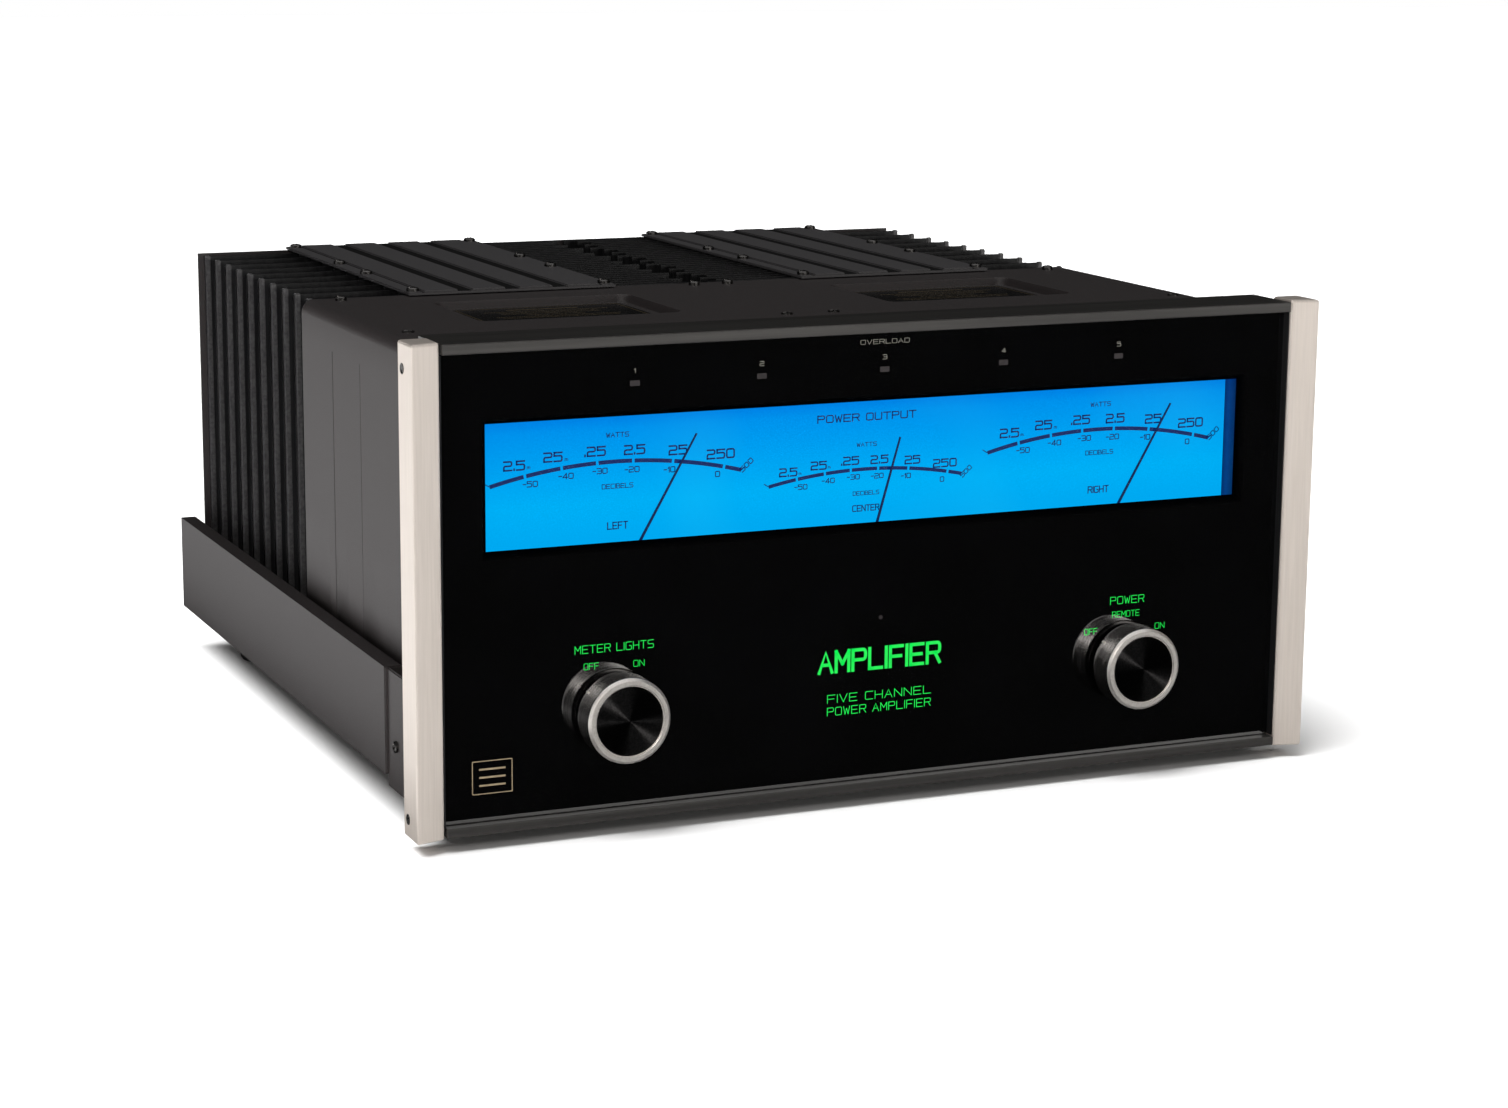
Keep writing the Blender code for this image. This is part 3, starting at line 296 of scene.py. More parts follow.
# The vent holes are painted near-black: painted shade of the dark inside seen through them.
VENT_HOLE_SHADE = perforated("vent_mesh_painted_shade", 0.0022)
RED = plain_finish("post_red", (0.42, 0.010, 0.012), (0.55, 0.018, 0.018), (0.3, 0.42), 0.0, 900.0)
# The needle's navy glow is painted light: it stands in for the scale's light on a needle that is no lamp.
NEEDLE_PAINTED_GLOW = lit_print("needle_painted_glow", (0.0, 0.011, 0.085), 0.9)
PLASTIC = plain_finish(
    "black_plastic", (0.010, 0.010, 0.010), (0.016, 0.016, 0.016), (0.38, 0.52), 0.0, 1800.0, depth=0.00005
)
BOARD = plain_finish("circuit_board", (0.006, 0.055, 0.022), (0.012, 0.10, 0.04), (0.3, 0.42), 0.0, 250.0)
CHROME = plain_finish("knob_metal", (0.50, 0.48, 0.47), (0.66, 0.64, 0.62), (0.17, 0.24), 1.0, 900.0)
BRIGHT = plain_finish("knob_rim", (0.90, 0.85, 0.80), (0.98, 0.94, 0.89), (0.36, 0.44), 0.85, 1200.0)
INLAY = spun("knob_inlay", (0.11, 0.108, 0.11), (0.17, 0.165, 0.165), (0.30, 0.36), 1500.0)
TRANSFORMER = plain_finish(
    "transformer", (0.05, 0.032, 0.02), (0.09, 0.06, 0.035), (0.35, 0.5), 0.3, 400.0, (1, 0.05, 1)
)
WHITE_PLASTIC = plain_finish("white_plastic", (0.62, 0.62, 0.60), (0.72, 0.72, 0.70), (0.4, 0.5), 0.0, 900.0)
SLEEVE = plain_finish("capacitor_sleeve", (0.012, 0.02, 0.09), (0.02, 0.035, 0.13), (0.2, 0.3), 0.0, 300.0)
RUBBER = plain_finish(
    "foot_rubber", (0.010, 0.010, 0.010), (0.018, 0.018, 0.018), (0.65, 0.8), 0.0, 1200.0, depth=0.0001
)
GOLD = plain_finish("gold_plate", (0.78, 0.52, 0.20), (0.90, 0.64, 0.28), (0.18, 0.28), 1.0, 900.0)
GOLD_INK = plain_finish("gold_ink", (0.060, 0.043, 0.020), (0.090, 0.065, 0.030), (0.4, 0.5), 0.0, 500.0)
PALE_INK = plain_finish("pale_ink", (0.26, 0.25, 0.21), (0.36, 0.35, 0.30), (0.5, 0.6), 0.0, 500.0)
EMBLEM_INK = plain_finish("emblem_ink", (0.36, 0.28, 0.17), (0.46, 0.36, 0.22), (0.4, 0.5), 0.3, 500.0)
LABEL = plain_finish("label_black", (0.004, 0.004, 0.004), (0.008, 0.008, 0.008), (0.22, 0.32), 0.0, 400.0)
LAMP_WINDOW = plain_finish(
    "lamp_window", (0.016, 0.012, 0.013), (0.026, 0.020, 0.021), (0.3, 0.4), 0.0, 500.0
)
SCALE = scale_light()
PANE = pane_glass()
PANEL = panel_black()
NAVY_INK = lit_print("navy_ink", (0.0, 0.018, 0.13), 1.0)
# Painted light: the housing's walls glow navy in place of the scale's light falling on them.
HOUSING_PAINTED_GLOW = housing_glow()
GLASS_EDGE = plain_finish(
    "glass_edge", (0.0010, 0.0010, 0.0011), (0.0022, 0.0022, 0.0024), (0.85, 0.95), spec=0.0
)
GREEN = lit_print("green_legend", (0.0, 0.68, 0.06), 1.5)
BRIGHT_GREEN = lit_print("green_title", (0.0, 0.83, 0.08), 1.0)

FINISHES = {
    "champagne_aluminium": CHAMPAGNE,
    "panel_glass": PANEL,
    "black_anodised": ANODISED,
    "grey_paint": PAINT,
    "black_paint": DARK_PAINT,
    "steel": STEEL,
    "lit_scale": SCALE,
    "needle": NEEDLE_PAINTED_GLOW,
    "black_plastic": PLASTIC,
    "circuit_board": BOARD,
    "knob_metal": CHROME,
    "knob_inlay": INLAY,
    "transformer": TRANSFORMER,
    "capacitor_sleeve": SLEEVE,
    "foot_rubber": RUBBER,
    "gold_plate": GOLD,
}


def dress(node, material):
    for slot in nodes[node].material_slots:
        slot.material = material


def dress_all():
    """Each CAD node that stays in view takes the finish of its slot in the record."""
    for part in frame["record"]["subparts"]:
        dress(part["node"], FINISHES[part["material_slot"]])
    for rail in ("panel_top_rail", "panel_bottom_rail"):
        dress(rail, RAIL_BLACK)
    dress("meter_housing", HOUSING_PAINTED_GLOW)


# ---------------------------------------------------------------- mesh helpers


def piece(name, mesh, material, body=BODY, replaces=(), smooth=None):
    """An object of the visual model that rides on a body and takes its finish from a slot."""
    if isinstance(mesh, bmesh.types.BMesh):
        data = bpy.data.meshes.new(name)
        mesh.to_mesh(data)
        mesh.free()
        mesh = data
    mesh.name = name
    if mesh.materials:
        mesh.materials.clear()
    for each in material if isinstance(material, (list, tuple)) else [material]:
        mesh.materials.append(each)
    obj = bpy.data.objects.new(name, mesh)
    bpy.context.scene.collection.objects.link(obj)
    if smooth is not None:
        mesh.shade_smooth()
        mesh.set_sharp_from_angle(angle=math.radians(smooth))
    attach(obj, body)
    if replaces:
        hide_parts(*replaces)
    return obj


def add_box(mesh, low, high):
    """A closed box between any two opposite corners."""
    size = [abs(last - first) for first, last in zip(low, high)]
    middle = [(first + last) / 2 for first, last in zip(low, high)]
    place = Matrix.Translation(middle) @ Matrix.Diagonal((*size, 1))
    return bmesh.ops.create_cube(mesh, size=1.0, matrix=place)["verts"]


def add_soft_box(mesh, low, high, radius):
    """A box whose edges are rounded."""
    verts = add_box(mesh, low, high)
    edges = {edge for vert in verts for edge in vert.link_edges}
    bmesh.ops.bevel(mesh, geom=list(edges), offset=radius, segments=2, affect="EDGES")


def axis_turn(axis):
    """Rotation that takes +Z to the axis."""
    return Vector((0, 0, 1)).rotation_difference(Vector(axis)).to_matrix().to_4x4()


def add_turned(mesh, profile, at, axis, sides=32):
    """A turned solid. The profile runs from the axis, up the outside and back, as (radius, height)."""
    place = Matrix.Translation(at) @ axis_turn(axis)
    rings = []
    for radius, height in profile:
        around = circle(radius, sides=sides) if radius > 0 else [(0, 0)]
        rings.append([mesh.verts.new(place @ Vector((x, y, height))) for x, y in around])
    for first, second in zip(rings, rings[1:]):
        for step in range(sides):
            after = (step + 1) % sides
            corners = [first[step % len(first)], first[after % len(first)]]
            corners += [second[after % len(second)], second[step % len(second)]]
            unique = list(dict.fromkeys(corners))
            if len(unique) > 2:
                mesh.faces.new(unique)


def add_mesh(mesh, other, place=None):
    """Adds a mesh's geometry, moved by a matrix."""
    if place is not None:
        other.transform(place)
    mesh.from_mesh(other)
    bpy.data.meshes.remove(other)


def outline_mesh(loops, thick, bevel=0.0):
    """A flat plate from outlines in its own XY plane, inner ones being holes, with its middle at Z = 0."""
    curve = bpy.data.curves.new("outline", "CURVE")
    curve.dimensions = "2D"
    curve.fill_mode = "BOTH"
    curve.extrude = thick / 2 - bevel
    curve.bevel_depth = bevel
    curve.offset = -bevel
    curve.bevel_resolution = 2
    for points in loops:
        spline = curve.splines.new("POLY")
        spline.points.add(len(points) - 1)
        for point, (x, y) in zip(spline.points, points):
            point.co = (x, y, 0, 1)
        spline.use_cyclic_u = True
    return curve_mesh(curve)


def curve_mesh(curve):
    """The mesh that a curve makes, as data of its own."""
    obj = bpy.data.objects.new("maker", curve)
    bpy.context.scene.collection.objects.link(obj)
    bpy.context.view_layer.update()
    graph = bpy.context.evaluated_depsgraph_get()
    mesh = bpy.data.meshes.new_from_object(obj.evaluated_get(graph))
    bpy.data.objects.remove(obj)
    joined = bmesh.new()
    joined.from_mesh(mesh)
    bmesh.ops.remove_doubles(joined, verts=joined.verts, dist=1e-7)
    bmesh.ops.recalc_face_normals(joined, faces=joined.faces)
    joined.to_mesh(mesh)
    joined.free()
    return mesh


def rounded(width, height, radius, steps=6):
    """Points of a rectangle with round corners, centred on the origin."""
    points = []
    for turn, (sx, sy) in enumerate(((1, 1), (-1, 1), (-1, -1), (1, -1))):
        middle = (sx * (width / 2 - radius), sy * (height / 2 - radius))
        for step in range(steps + 1):
            angle = math.radians(90 * (turn + step / steps))
            points.append((middle[0] + radius * math.cos(angle), middle[1] + radius * math.sin(angle)))
    return points


def circle(radius, at=(0, 0), sides=32):
    turns = [math.tau * step / sides for step in range(sides)]
    return [(at[0] + radius * math.cos(turn), at[1] + radius * math.sin(turn)) for turn in turns]


def facing_front(x, y, z):
    """Takes a plate's XY plane to the front view: X stays, Y points up and the face looks to -Y."""
    return Matrix.Translation((x, y, z)) @ Matrix.Rotation(math.pi / 2, 4, "X")


def facing_rear(x, y, z):
    """The same for the rear view, where the plate's X runs to -X and its face looks to +Y."""
    return Matrix.Translation((x, y, z)) @ Matrix.Rotation(math.pi, 4, "Z") @ Matrix.Rotation(
        math.pi / 2, 4, "X"
    )


# ---------------------------------------------------------------- printing

INK = 0.00006
EMBLEM_PLACE = (-0.1855, 0.0308)
LAMP_PITCH = 0.0597
LAMP_Z = 0.199
SCALE_DATUM = 0.1103
# Plain squared lettering. Each stroke is a run of two-figure points on a grid eight high, X before Y.
CAP = 8
CORNER = 1.7
LETTER_GAP = 2.6
STROKES = {
    "A": ("00 48 80", "23 63"), "B": ("00 08", "08 78 74 04", "74 84 80 00"), "C": ("88 08 00 80",),
    "D": ("00 08", "08 88 80 00"), "E": ("00 08", "08 88", "04 74", "00 80"),
    "F": ("00 08", "08 88", "04 74"),
    "G": ("88 08 00 80 84 54",), "H": ("00 08", "80 88", "04 84"), "I": ("00 08",), "L": ("08 00", "00 80"),
    "M": ("00 08", "08 43", "43 88", "88 80"), "N": ("00 08", "08 80", "80 88"), "O": ("48 08 00 80 88 48",),
    "P": ("00 08", "08 88 84 04"), "R": ("00 08", "08 88 84 04", "54 80"), "S": ("88 08 04 84 80 00",),
    "T": ("08 88", "40 48"), "U": ("08 00 80 88",), "V": ("08 40", "40 88"),
    "W": ("08 20", "20 46", "46 60", "60 88"), "0": ("48 08 00 80 88 48",), "1": ("20 28", "28 06"),
    "2": ("08 88 84 04 00", "00 80"), "3": ("08 88 80 00", "24 84"), "4": ("60 68", "68 02", "02 82"),
    "5": ("88 08", "08 05", "05 85 80 00"), ".": ("00 01",), "-": ("04 54",),
    "+": ("04 84", "40 48"), "m": ("00 05", "05 85 80", "45 40"),
}
NARROW = {"I": 0, ".": 0, "1": 2, "-": 5, " ": 4}


def stroke_points(stroke):
    """The points of a stroke, with its inner corners rounded."""
    grid = [Vector((int(pair[0]), int(pair[1]))) for pair in stroke.split()]
    points = [grid[0]]
    for before, corner, after in zip(grid, grid[1:], grid[2:]):
        come, go = (before - corner), (after - corner)
        if len(grid) == 3 and abs(come.x * go.x + come.y * go.y) > 0.1:
            points.append(corner)
            continue
        radius = min(CORNER, come.length / 2, go.length / 2)
        first, last = corner + come.normalized() * radius, corner + go.normalized() * radius
        for step in range(5):
            share = step / 4
            points.append((1 - share) ** 2 * first + 2 * share * (1 - share) * corner + share ** 2 * last)
    points.append(grid[-1])
    return points


def add_words(mesh, words, place, height, width=None, stretch=1.0, turn=0.0, weight=1.45):
    """Letters of a given cap height, centred on a place. A width sets their whole length."""
    unit = height / CAP
    length = sum(NARROW.get(letter, CAP) + LETTER_GAP for letter in words) - LETTER_GAP
    across = width / length if width else stretch * unit
    place = place @ Matrix.Rotation(turn, 4, "Z")
    start = -length / 2
    for letter in words:
        for stroke in STROKES.get(letter, ()):
            points = stroke_points(stroke)
            lead, tail = (points[0] - points[1]).normalized(), (points[-1] - points[-2]).normalized()
            points[0] = points[0] + lead * weight / 2
            points[-1] = points[-1] + tail * weight / 2
            flat = [((start + point.x) * across, (point.y - CAP / 2) * unit) for point in points]
            add_strip(mesh, flat, weight * unit, place)
        start += NARROW.get(letter, CAP) + LETTER_GAP


def add_strip(mesh, points, width, place, thick=INK):
    """A flat band of a given width that follows points in the plate's own XY plane."""
    sides = ([], [])
    for index, point in enumerate(points):
        before = Vector(points[max(index - 1, 0)])
        after = Vector(points[min(index + 1, len(points) - 1)])
        along = (after - before).normalized()
        across = Vector((-along.y, along.x)) * width / 2
        sides[0].append(Vector(point) + across)
        sides[1].append(Vector(point) - across)
    loop = sides[0] + sides[1][::-1]
    lower = [mesh.verts.new(place @ Vector((p.x, p.y, -thick / 2))) for p in loop]
    upper = [mesh.verts.new(place @ Vector((p.x, p.y, thick / 2))) for p in loop]
    count = len(loop)
    half = len(points)
    for index in range(half - 1):
        mirror = count - 1 - index
        mesh.faces.new((upper[index], upper[mirror], upper[mirror - 1], upper[index + 1]))
        mesh.faces.new((lower[index + 1], lower[mirror - 1], lower[mirror], lower[index]))
    for index in range(count):
        after = (index + 1) % count
        mesh.faces.new((lower[index], lower[after], upper[after], upper[index]))


def add_scale(mesh, pivot, size, arc, marks, decibels, words):
    """One meter's printing: a broken arc, its end ticks, power figures above and decibels below.

    Its heights are measured from a datum below the pivot.
    """
    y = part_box("meter_scale_plate")[0][1] - INK
    place = facing_front(pivot[0], y, pivot[2] - SCALE_DATUM)
    radius, crown, half, breaks = arc
    centre = crown - radius

    def on_arc(x, lift=0.0):
        angle = math.asin(x / radius)
        return ((radius + lift) * math.sin(angle), centre + (radius + lift) * math.cos(angle))

    stops = [-half, *breaks, half]
    gap = 0.0006 * size
    for first, last in zip(stops, stops[1:]):
        start = first + (gap if first != -half else 0)
        end = last - (gap if last != half else 0)
        count = 10
        band = [on_arc(start + (end - start) * step / count) for step in range(count + 1)]
        add_strip(mesh, band, 0.0018 * size, place)
    for end, lean in ((-half, -0.0026), (half, 0.0020)):
        foot = on_arc(end)
        tip = (foot[0] + lean * size, foot[1] + 0.0016 * size)
        add_strip(mesh, [foot, tip], 0.0004, place)
    for words_here, x, z, tall, turn in marks:
        spot = place @ Matrix.Translation((x, z, 0))
        add_words(mesh, words_here, spot, tall, stretch=0.93, turn=turn, weight=1.55)
    for words_here, x, z, tall in decibels:
        add_words(mesh, words_here, place @ Matrix.Translation((x, z, 0)), tall, stretch=0.88, weight=1.5)
    for words_here, x, z, tall, width in words:
        add_words(mesh, words_here, place @ Matrix.Translation((x, z, 0)), tall, width, weight=1.4)


def side_scale(mesh, pivot, label):
    """Printing of an outer meter, in heights above the ground."""
    breaks = [-0.0429, -0.026, -0.0095, 0.0074, 0.0262, 0.0506]
    arc = (0.2325, 0.1635, 0.059, breaks)
    figures = [
        ("2.5", -0.0478), ("25", -0.0300), (".25", -0.0105), ("2.5", 0.0080), ("25", 0.0285), ("250", 0.0490)
    ]
    heights = [0.1645, 0.1672, 0.1685, 0.1682, 0.1668, 0.1638]
    marks = [(text, x, z, 0.0038, 0) for (text, x), z in zip(figures, heights)]
    marks += [("m", -0.0412, 0.1635, 0.0014, 0), ("m", -0.0238, 0.1660, 0.0014, 0)]
    marks.append(("500", 0.0615, 0.1580, 0.0021, math.radians(42)))
    decibels = [("-50", -0.0405, 0.1560), ("-40", -0.0240, 0.1585), ("-30", -0.0082, 0.1597)]
    decibels += [("-20", 0.0068, 0.1595), ("-10", 0.0245, 0.1583), ("0", 0.0475, 0.1548)]
    decibels = [(text, x, z, 0.0023) for text, x, z in decibels]
    words = [("WATTS", 0, 0.1753, 0.0019, 0.0105), ("DECIBELS", 0, 0.1526, 0.0019, 0.0145)]
    words.append((label, 0, 0.1350, 0.0029, 0.0094 if label == "LEFT" else 0.0108))
    add_scale(mesh, pivot, 1.0, arc, marks, decibels, words)


def centre_scale(mesh, pivot):
    """Printing of the middle meter, which is smaller and sits lower."""
    breaks = [-0.0345, -0.0207, -0.0078, 0.0059, 0.0212, 0.0412]
    arc = (0.2290, 0.1524, 0.0483, breaks)
    figures = [
        ("2.5", -0.0388), ("25", -0.0238), (".25", -0.0082), ("2.5", 0.0065), ("25", 0.0232), ("250", 0.0398)
    ]
    heights = [0.1533, 0.1554, 0.1566, 0.1564, 0.1552, 0.1527]
    marks = [(text, x, z, 0.0034, 0) for (text, x), z in zip(figures, heights)]
    marks += [("m", -0.0330, 0.1525, 0.0012, 0), ("m", -0.0186, 0.1545, 0.0012, 0)]
    marks.append(("500", 0.0507, 0.1481, 0.0019, math.radians(42)))
    decibels = [("-50", -0.0325, 0.1462), ("-40", -0.0190, 0.1482), ("-30", -0.0065, 0.1491)]
    decibels += [("-20", 0.0055, 0.1489), ("-10", 0.0200, 0.1480), ("0", 0.0385, 0.1452)]
    decibels = [(text, x, z, 0.0021) for text, x, z in decibels]
    words = [("POWER OUTPUT", 0, 0.1763, 0.0031, 0.0490), ("WATTS", 0, 0.1637, 0.0017, 0.0098)]
    words += [("DECIBELS", 0, 0.1414, 0.0017, 0.0130), ("CENTER", 0, 0.1345, 0.0026, 0.0132)]
    add_scale(mesh, pivot, 0.9, arc, marks, decibels, words)


def meter_printing():
    for label, joint in (("LEFT", "meter_left_swing"), ("RIGHT", "meter_right_swing")):
        mesh = bmesh.new()
        side_scale(mesh, joints[joint]["pos_m"], label)
        piece(f"scale_print_{label.lower()}", mesh, NAVY_INK)
    mesh = bmesh.new()
    centre_scale(mesh, joints["meter_center_swing"]["pos_m"])
    piece("scale_print_center", mesh, NAVY_INK)


def front_printing():
    """Legends on the glass: green where they are lit from behind, pale where they are only printed."""
    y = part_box("front_glass")[0][1] - INK / 2
    left_x = joints["lights_knob_turn"]["pos_m"][0]
    right_x = joints["power_knob_turn"]["pos_m"][0]
    small = bmesh.new()
    legends = [("METER LIGHTS", left_x - 0.0007, 0.0834, 0.0034, 0.0367)]
    legends += [("OFF", left_x - 0.0115, 0.0757, 0.0027, 0.0068)]
    legends += [("ON", left_x + 0.0108, 0.0752, 0.0027, 0.0050), ("POWER", right_x, 0.0837, 0.0034, 0.0180)]
    legends += [("REMOTE", right_x - 0.0005, 0.0770, 0.0027, 0.0145)]
    legends += [("OFF", right_x - 0.0190, 0.0699, 0.0027, 0.0068)]
    legends += [("ON", right_x + 0.0180, 0.0698, 0.0027, 0.0050)]
    legends += [("FIVE CHANNEL", 0, 0.0501, 0.0036, 0.0520), ("POWER AMPLIFIER", 0, 0.0442, 0.0036, 0.0520)]
    for words, x, z, height, width in legends:
        add_words(small, words, facing_front(x, y, z), height, width, weight=0.62)
    legends_piece = piece("front_legends", small, GREEN)
    title = bmesh.new()
    add_words(title, "AMPLIFIER", facing_front(0, y, 0.0672), 0.0092, 0.0605, weight=1.35)
    title_piece = piece("front_title", title, BRIGHT_GREEN)
    for lettering in (legends_piece, title_piece):
        lettering.visible_glossy = False
    pale = bmesh.new()
    add_words(pale, "OVERLOAD", facing_front(0, y, 0.2115), 0.0019, 0.0240, weight=0.7)
    for index, label in enumerate("12345"):
        place = facing_front((index - 2) * LAMP_PITCH, y, LAMP_Z + 0.0055)
        add_words(pale, label, place, 0.0019, weight=0.85)
    piece("front_captions", pale, PALE_INK)
    emblem = bmesh.new()
    at = facing_front(EMBLEM_PLACE[0], y, EMBLEM_PLACE[1])
    add_mesh(
        emblem, outline_mesh([rounded(0.0185, 0.0150, 0.0006), rounded(0.0177, 0.0142, 0.0004)], INK), at
    )
    half_rule, rule_pitch, rule_width = 0.0060, 0.0036, 0.0008
    for rule in range(-1, 2):
        height = rule * rule_pitch
        add_strip(emblem, [(-half_rule, height), (half_rule, height)], rule_width, at)
    piece("front_emblem", emblem, EMBLEM_INK)
    lamps = bmesh.new()
    for index in range(5):
        place = facing_front((index - 2) * LAMP_PITCH, y, LAMP_Z)
        add_mesh(lamps, outline_mesh([rounded(0.0046, 0.0024, 0.0003)], INK), place)
    piece("overload_windows", lamps, LAMP_WINDOW)
    dot = bmesh.new()
    add_mesh(dot, outline_mesh([circle(0.001)], INK), facing_front(0, y, 0.0859))
    piece("standby_window", dot, LAMP_WINDOW)


# ---------------------------------------------------------------- front panel

WINDOW_MARGIN = 0.0041
WINDOW_LOW, WINDOW_HIGH = 0.1291, 0.1843


def window_box():
    """Edges of the clear window: the housing's inside, less the margin that the paint covers."""
    low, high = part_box("meter_housing")
    return low[0] + WINDOW_MARGIN, high[0] - WINDOW_MARGIN, WINDOW_LOW, WINDOW_HIGH


FLARE = 0.0032


def glass_panel():
    """Black glass, flared towards its front round the window, with a clear pane flush in it.

    The black is paint on the back of the glass, so the window's edge is seen at the back face.
    """
    low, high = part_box("front_glass")
    middle = [(low[i] + high[i]) / 2 for i in range(3)]
    thick = high[1] - low[1]
    x0, x1, z0, z1 = window_box()
    loops = [rounded(high[0] - low[0], high[2] - low[2], 0.0004, 2)]
    window = [(x0, z0), (x1, z0), (x1, z1), (x0, z1)]
    loops.append([(x - middle[0], z - middle[2]) for x, z in window])
    for joint in ("lights_knob_turn", "power_knob_turn"):
        x, _, z = joints[joint]["pos_m"]
        loops.append(circle(0.0052, (x - middle[0], z - middle[2])))
    mesh = outline_mesh(loops, thick)
    mesh.transform(facing_front(*middle))
    edge = 0.0001
    window_x, window_z = (x0 + x1) / 2, (z0 + z1) / 2
    for vertex in mesh.vertices:
        x, y, z = vertex.co
        if y < middle[1] and x0 - edge < x < x1 + edge and z0 - edge < z < z1 + edge:
            vertex.co.x += math.copysign(FLARE, x - window_x)
            vertex.co.z += math.copysign(FLARE, z - window_z)
    panel = piece("front_glass_panel", mesh, [PANEL, GLASS_EDGE], replaces=("front_glass",))
    for face in panel.data.polygons:
        face.material_index = 1 if low[1] + edge < face.center.y < high[1] - edge else 0
    pane = bmesh.new()
    clear = FLARE - 0.0004
    add_box(pane, (x0 - clear, low[1], z0 - clear), (x1 + clear, low[1] + 0.0004, z1 + clear))
    bmesh.ops.bevel(pane, geom=pane.edges[:], offset=0.0001, segments=1, affect="EDGES")
    piece("meter_window_pane", pane, PANE)


def trim_strips():
    """Black strips that fill the joints between the glass and the end caps, proud of the glass."""
    low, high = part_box("front_glass")
    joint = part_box("end_cap_right")[0][0] - high[0]
    mesh = bmesh.new()
    for sign in (-1, 1):
        inner, outer = sign * (high[0] + 0.1 * joint), sign * (high[0] + 0.85 * joint)
        add_soft_box(mesh, (inner, low[1] - 0.0040, low[2]), (outer, high[1], high[2]), 0.00012)
    piece("glass_trim_strips", mesh, ANODISED, smooth=30)


KNURLS = 96
KNURL_DEPTH = 0.00028
SHAFT_BORE = 0.0031
KNOB_REST_TURN = math.radians(-52)


def knob(label, joint, index_turn):
    """Knob with a diamond-knurled flank, a bright bevelled rim and a black spun inlay."""
    low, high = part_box(f"{label}_knob")
    x, _, z = joints[joint]["pos_m"]
    back, front = high[1], low[1]
    radius = (high[0] - low[0]) / 2
    steps_per_knurl = 4
    columns = KNURLS * steps_per_knurl
    rim = 0.0013
    start, end = back - 0.0009, front + rim
    rows = 44
    pitch = math.tau * radius / KNURLS

    def wave(value):
        return abs((value % 1.0) * 2 - 1)

    mesh = bmesh.new()
    grid = []
    profile = [(SHAFT_BORE, back), (radius - 0.0016, back)]
    profile += [(radius - 0.0016, back - 0.0006), (radius - 0.0006, back - 0.0009)]
    for r, y in profile:
        grid.append([(r, y)] * columns)
    for row in range(rows + 1):
        y = start + (end - start) * row / rows
        fade = min(1.0, row / 2, (rows - row) / 2)
        line = []
        for column in range(columns):
            around = column / steps_per_knurl
            along = (start - y) / pitch
            depth = max(wave(around + along), wave(around - along))
            line.append((radius - KNURL_DEPTH * depth * fade, y))
        grid.append(line)
    knurl_rows = len(grid)
    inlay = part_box(f"{label}_knob_inlay")
    seat = radius * 0.825
    floor = inlay[0][1] + 0.0003
    bevel = [(radius - 0.0001, end - 0.0002), (radius - 0.0011, front + 0.0002), (radius - 0.0013, front)]
    bevel += [(seat + 0.0004, front), (seat + 0.0001, front + 0.0002), (seat, floor), (SHAFT_BORE, floor)]
    for r, y in bevel:
        grid.append([(r, y)] * columns)
    verts = []
    for line in grid:
        ring = []
        for column, (r, y) in enumerate(line):
            angle = math.tau * column / columns
            ring.append(mesh.verts.new((x + r * math.sin(angle), y, z + r * math.cos(angle))))
        verts.append(ring)
    for row, (first, second) in enumerate(zip(verts, verts[1:])):
        for column in range(columns):
            after = (column + 1) % columns
            face = mesh.faces.new((first[column], second[column], second[after], first[after]))
            face.material_index = 0 if row < knurl_rows else 1
    for column in range(columns):
        after = (column + 1) % columns
        mesh.faces.new((verts[-1][column], verts[0][column], verts[0][after], verts[-1][after]))
    node = f"{label}_knob"
    piece(f"{label}_knob_grip", mesh, [CHROME, BRIGHT], node, (node,), smooth=32)
    face = bmesh.new()
    thick = inlay[1][1] - inlay[0][1]
    r = seat - 0.0003
    disc = [(0, 0), (r - 0.0001, 0), (r, 0.0001), (r, thick - 0.0003), (r - 0.0002, thick - 0.0001)]
    rings = 9
    for ring in range(rings):
        disc.append(((r - 0.0005) * (1 - ring / rings), thick - 0.0001 + 0.00004 * (ring % 2)))
    disc.append((0, thick - 0.0001))
    add_turned(face, disc, (x, inlay[1][1], z), (0, -1, 0), 96)
    piece(
        f"{label}_knob_disc", face, INLAY, f"{label}_knob", (f"{label}_knob_inlay",), smooth=40
    )
    mark = bmesh.new()
    add_box(mark, (-0.0005, -0.0014, -0.0006), (0.0005, 0.0014, 0.0006))
    bmesh.ops.bevel(mark, geom=mark.edges[:], offset=0.0002, segments=2, affect="EDGES")
    turn = Matrix.Rotation(index_turn, 4, "Y")
    at = Matrix.Translation((x, back - 0.0024, z)) @ turn @ Matrix.Translation((0, 0, radius - 0.0004))
    bmesh.ops.transform(mark, matrix=at, verts=mark.verts)
    piece(f"{label}_knob_index", mark, BRIGHT, f"{label}_knob")


# ---------------------------------------------------------------- sheet metal

WELL_WIDTH = 0.100
WELL_LENGTH = 0.073
WELL_DEPTH = 0.004
WELL_BACK = 0.092
WELL_CORNER = 0.006
WELL_WALL = 0.0018
COVER_BEND = 0.006
SHEET = 0.0015
SHEET_EDGE = 0.0004
TRAY_TONGUE = 0.0372
# Rules on a label plate: length, height on the plate, and width.
LABEL_RULES = [(0.036, 0.0135, 0.0018)]
LABEL_RULES += [(0.062, 0.0075, 0.0006), (0.050, 0.0035, 0.0006), (0.050, -0.0005, 0.0006)]
LABEL_RULES += [(0.030, -0.0055, 0.0006), (0.062, -0.0105, 0.0006), (0.058, -0.0145, 0.0006)]
# Seams down the cover's sides: distance from its front, width and depth.
SEAMS = ((0.145, 0.0010, 0.0009), (0.1015, 0.0007, 0.0003))


def module_middles():
    return [sum(corner[0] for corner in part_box(f"vent_cover_{side}")) / 2 for side in ("left", "right")]


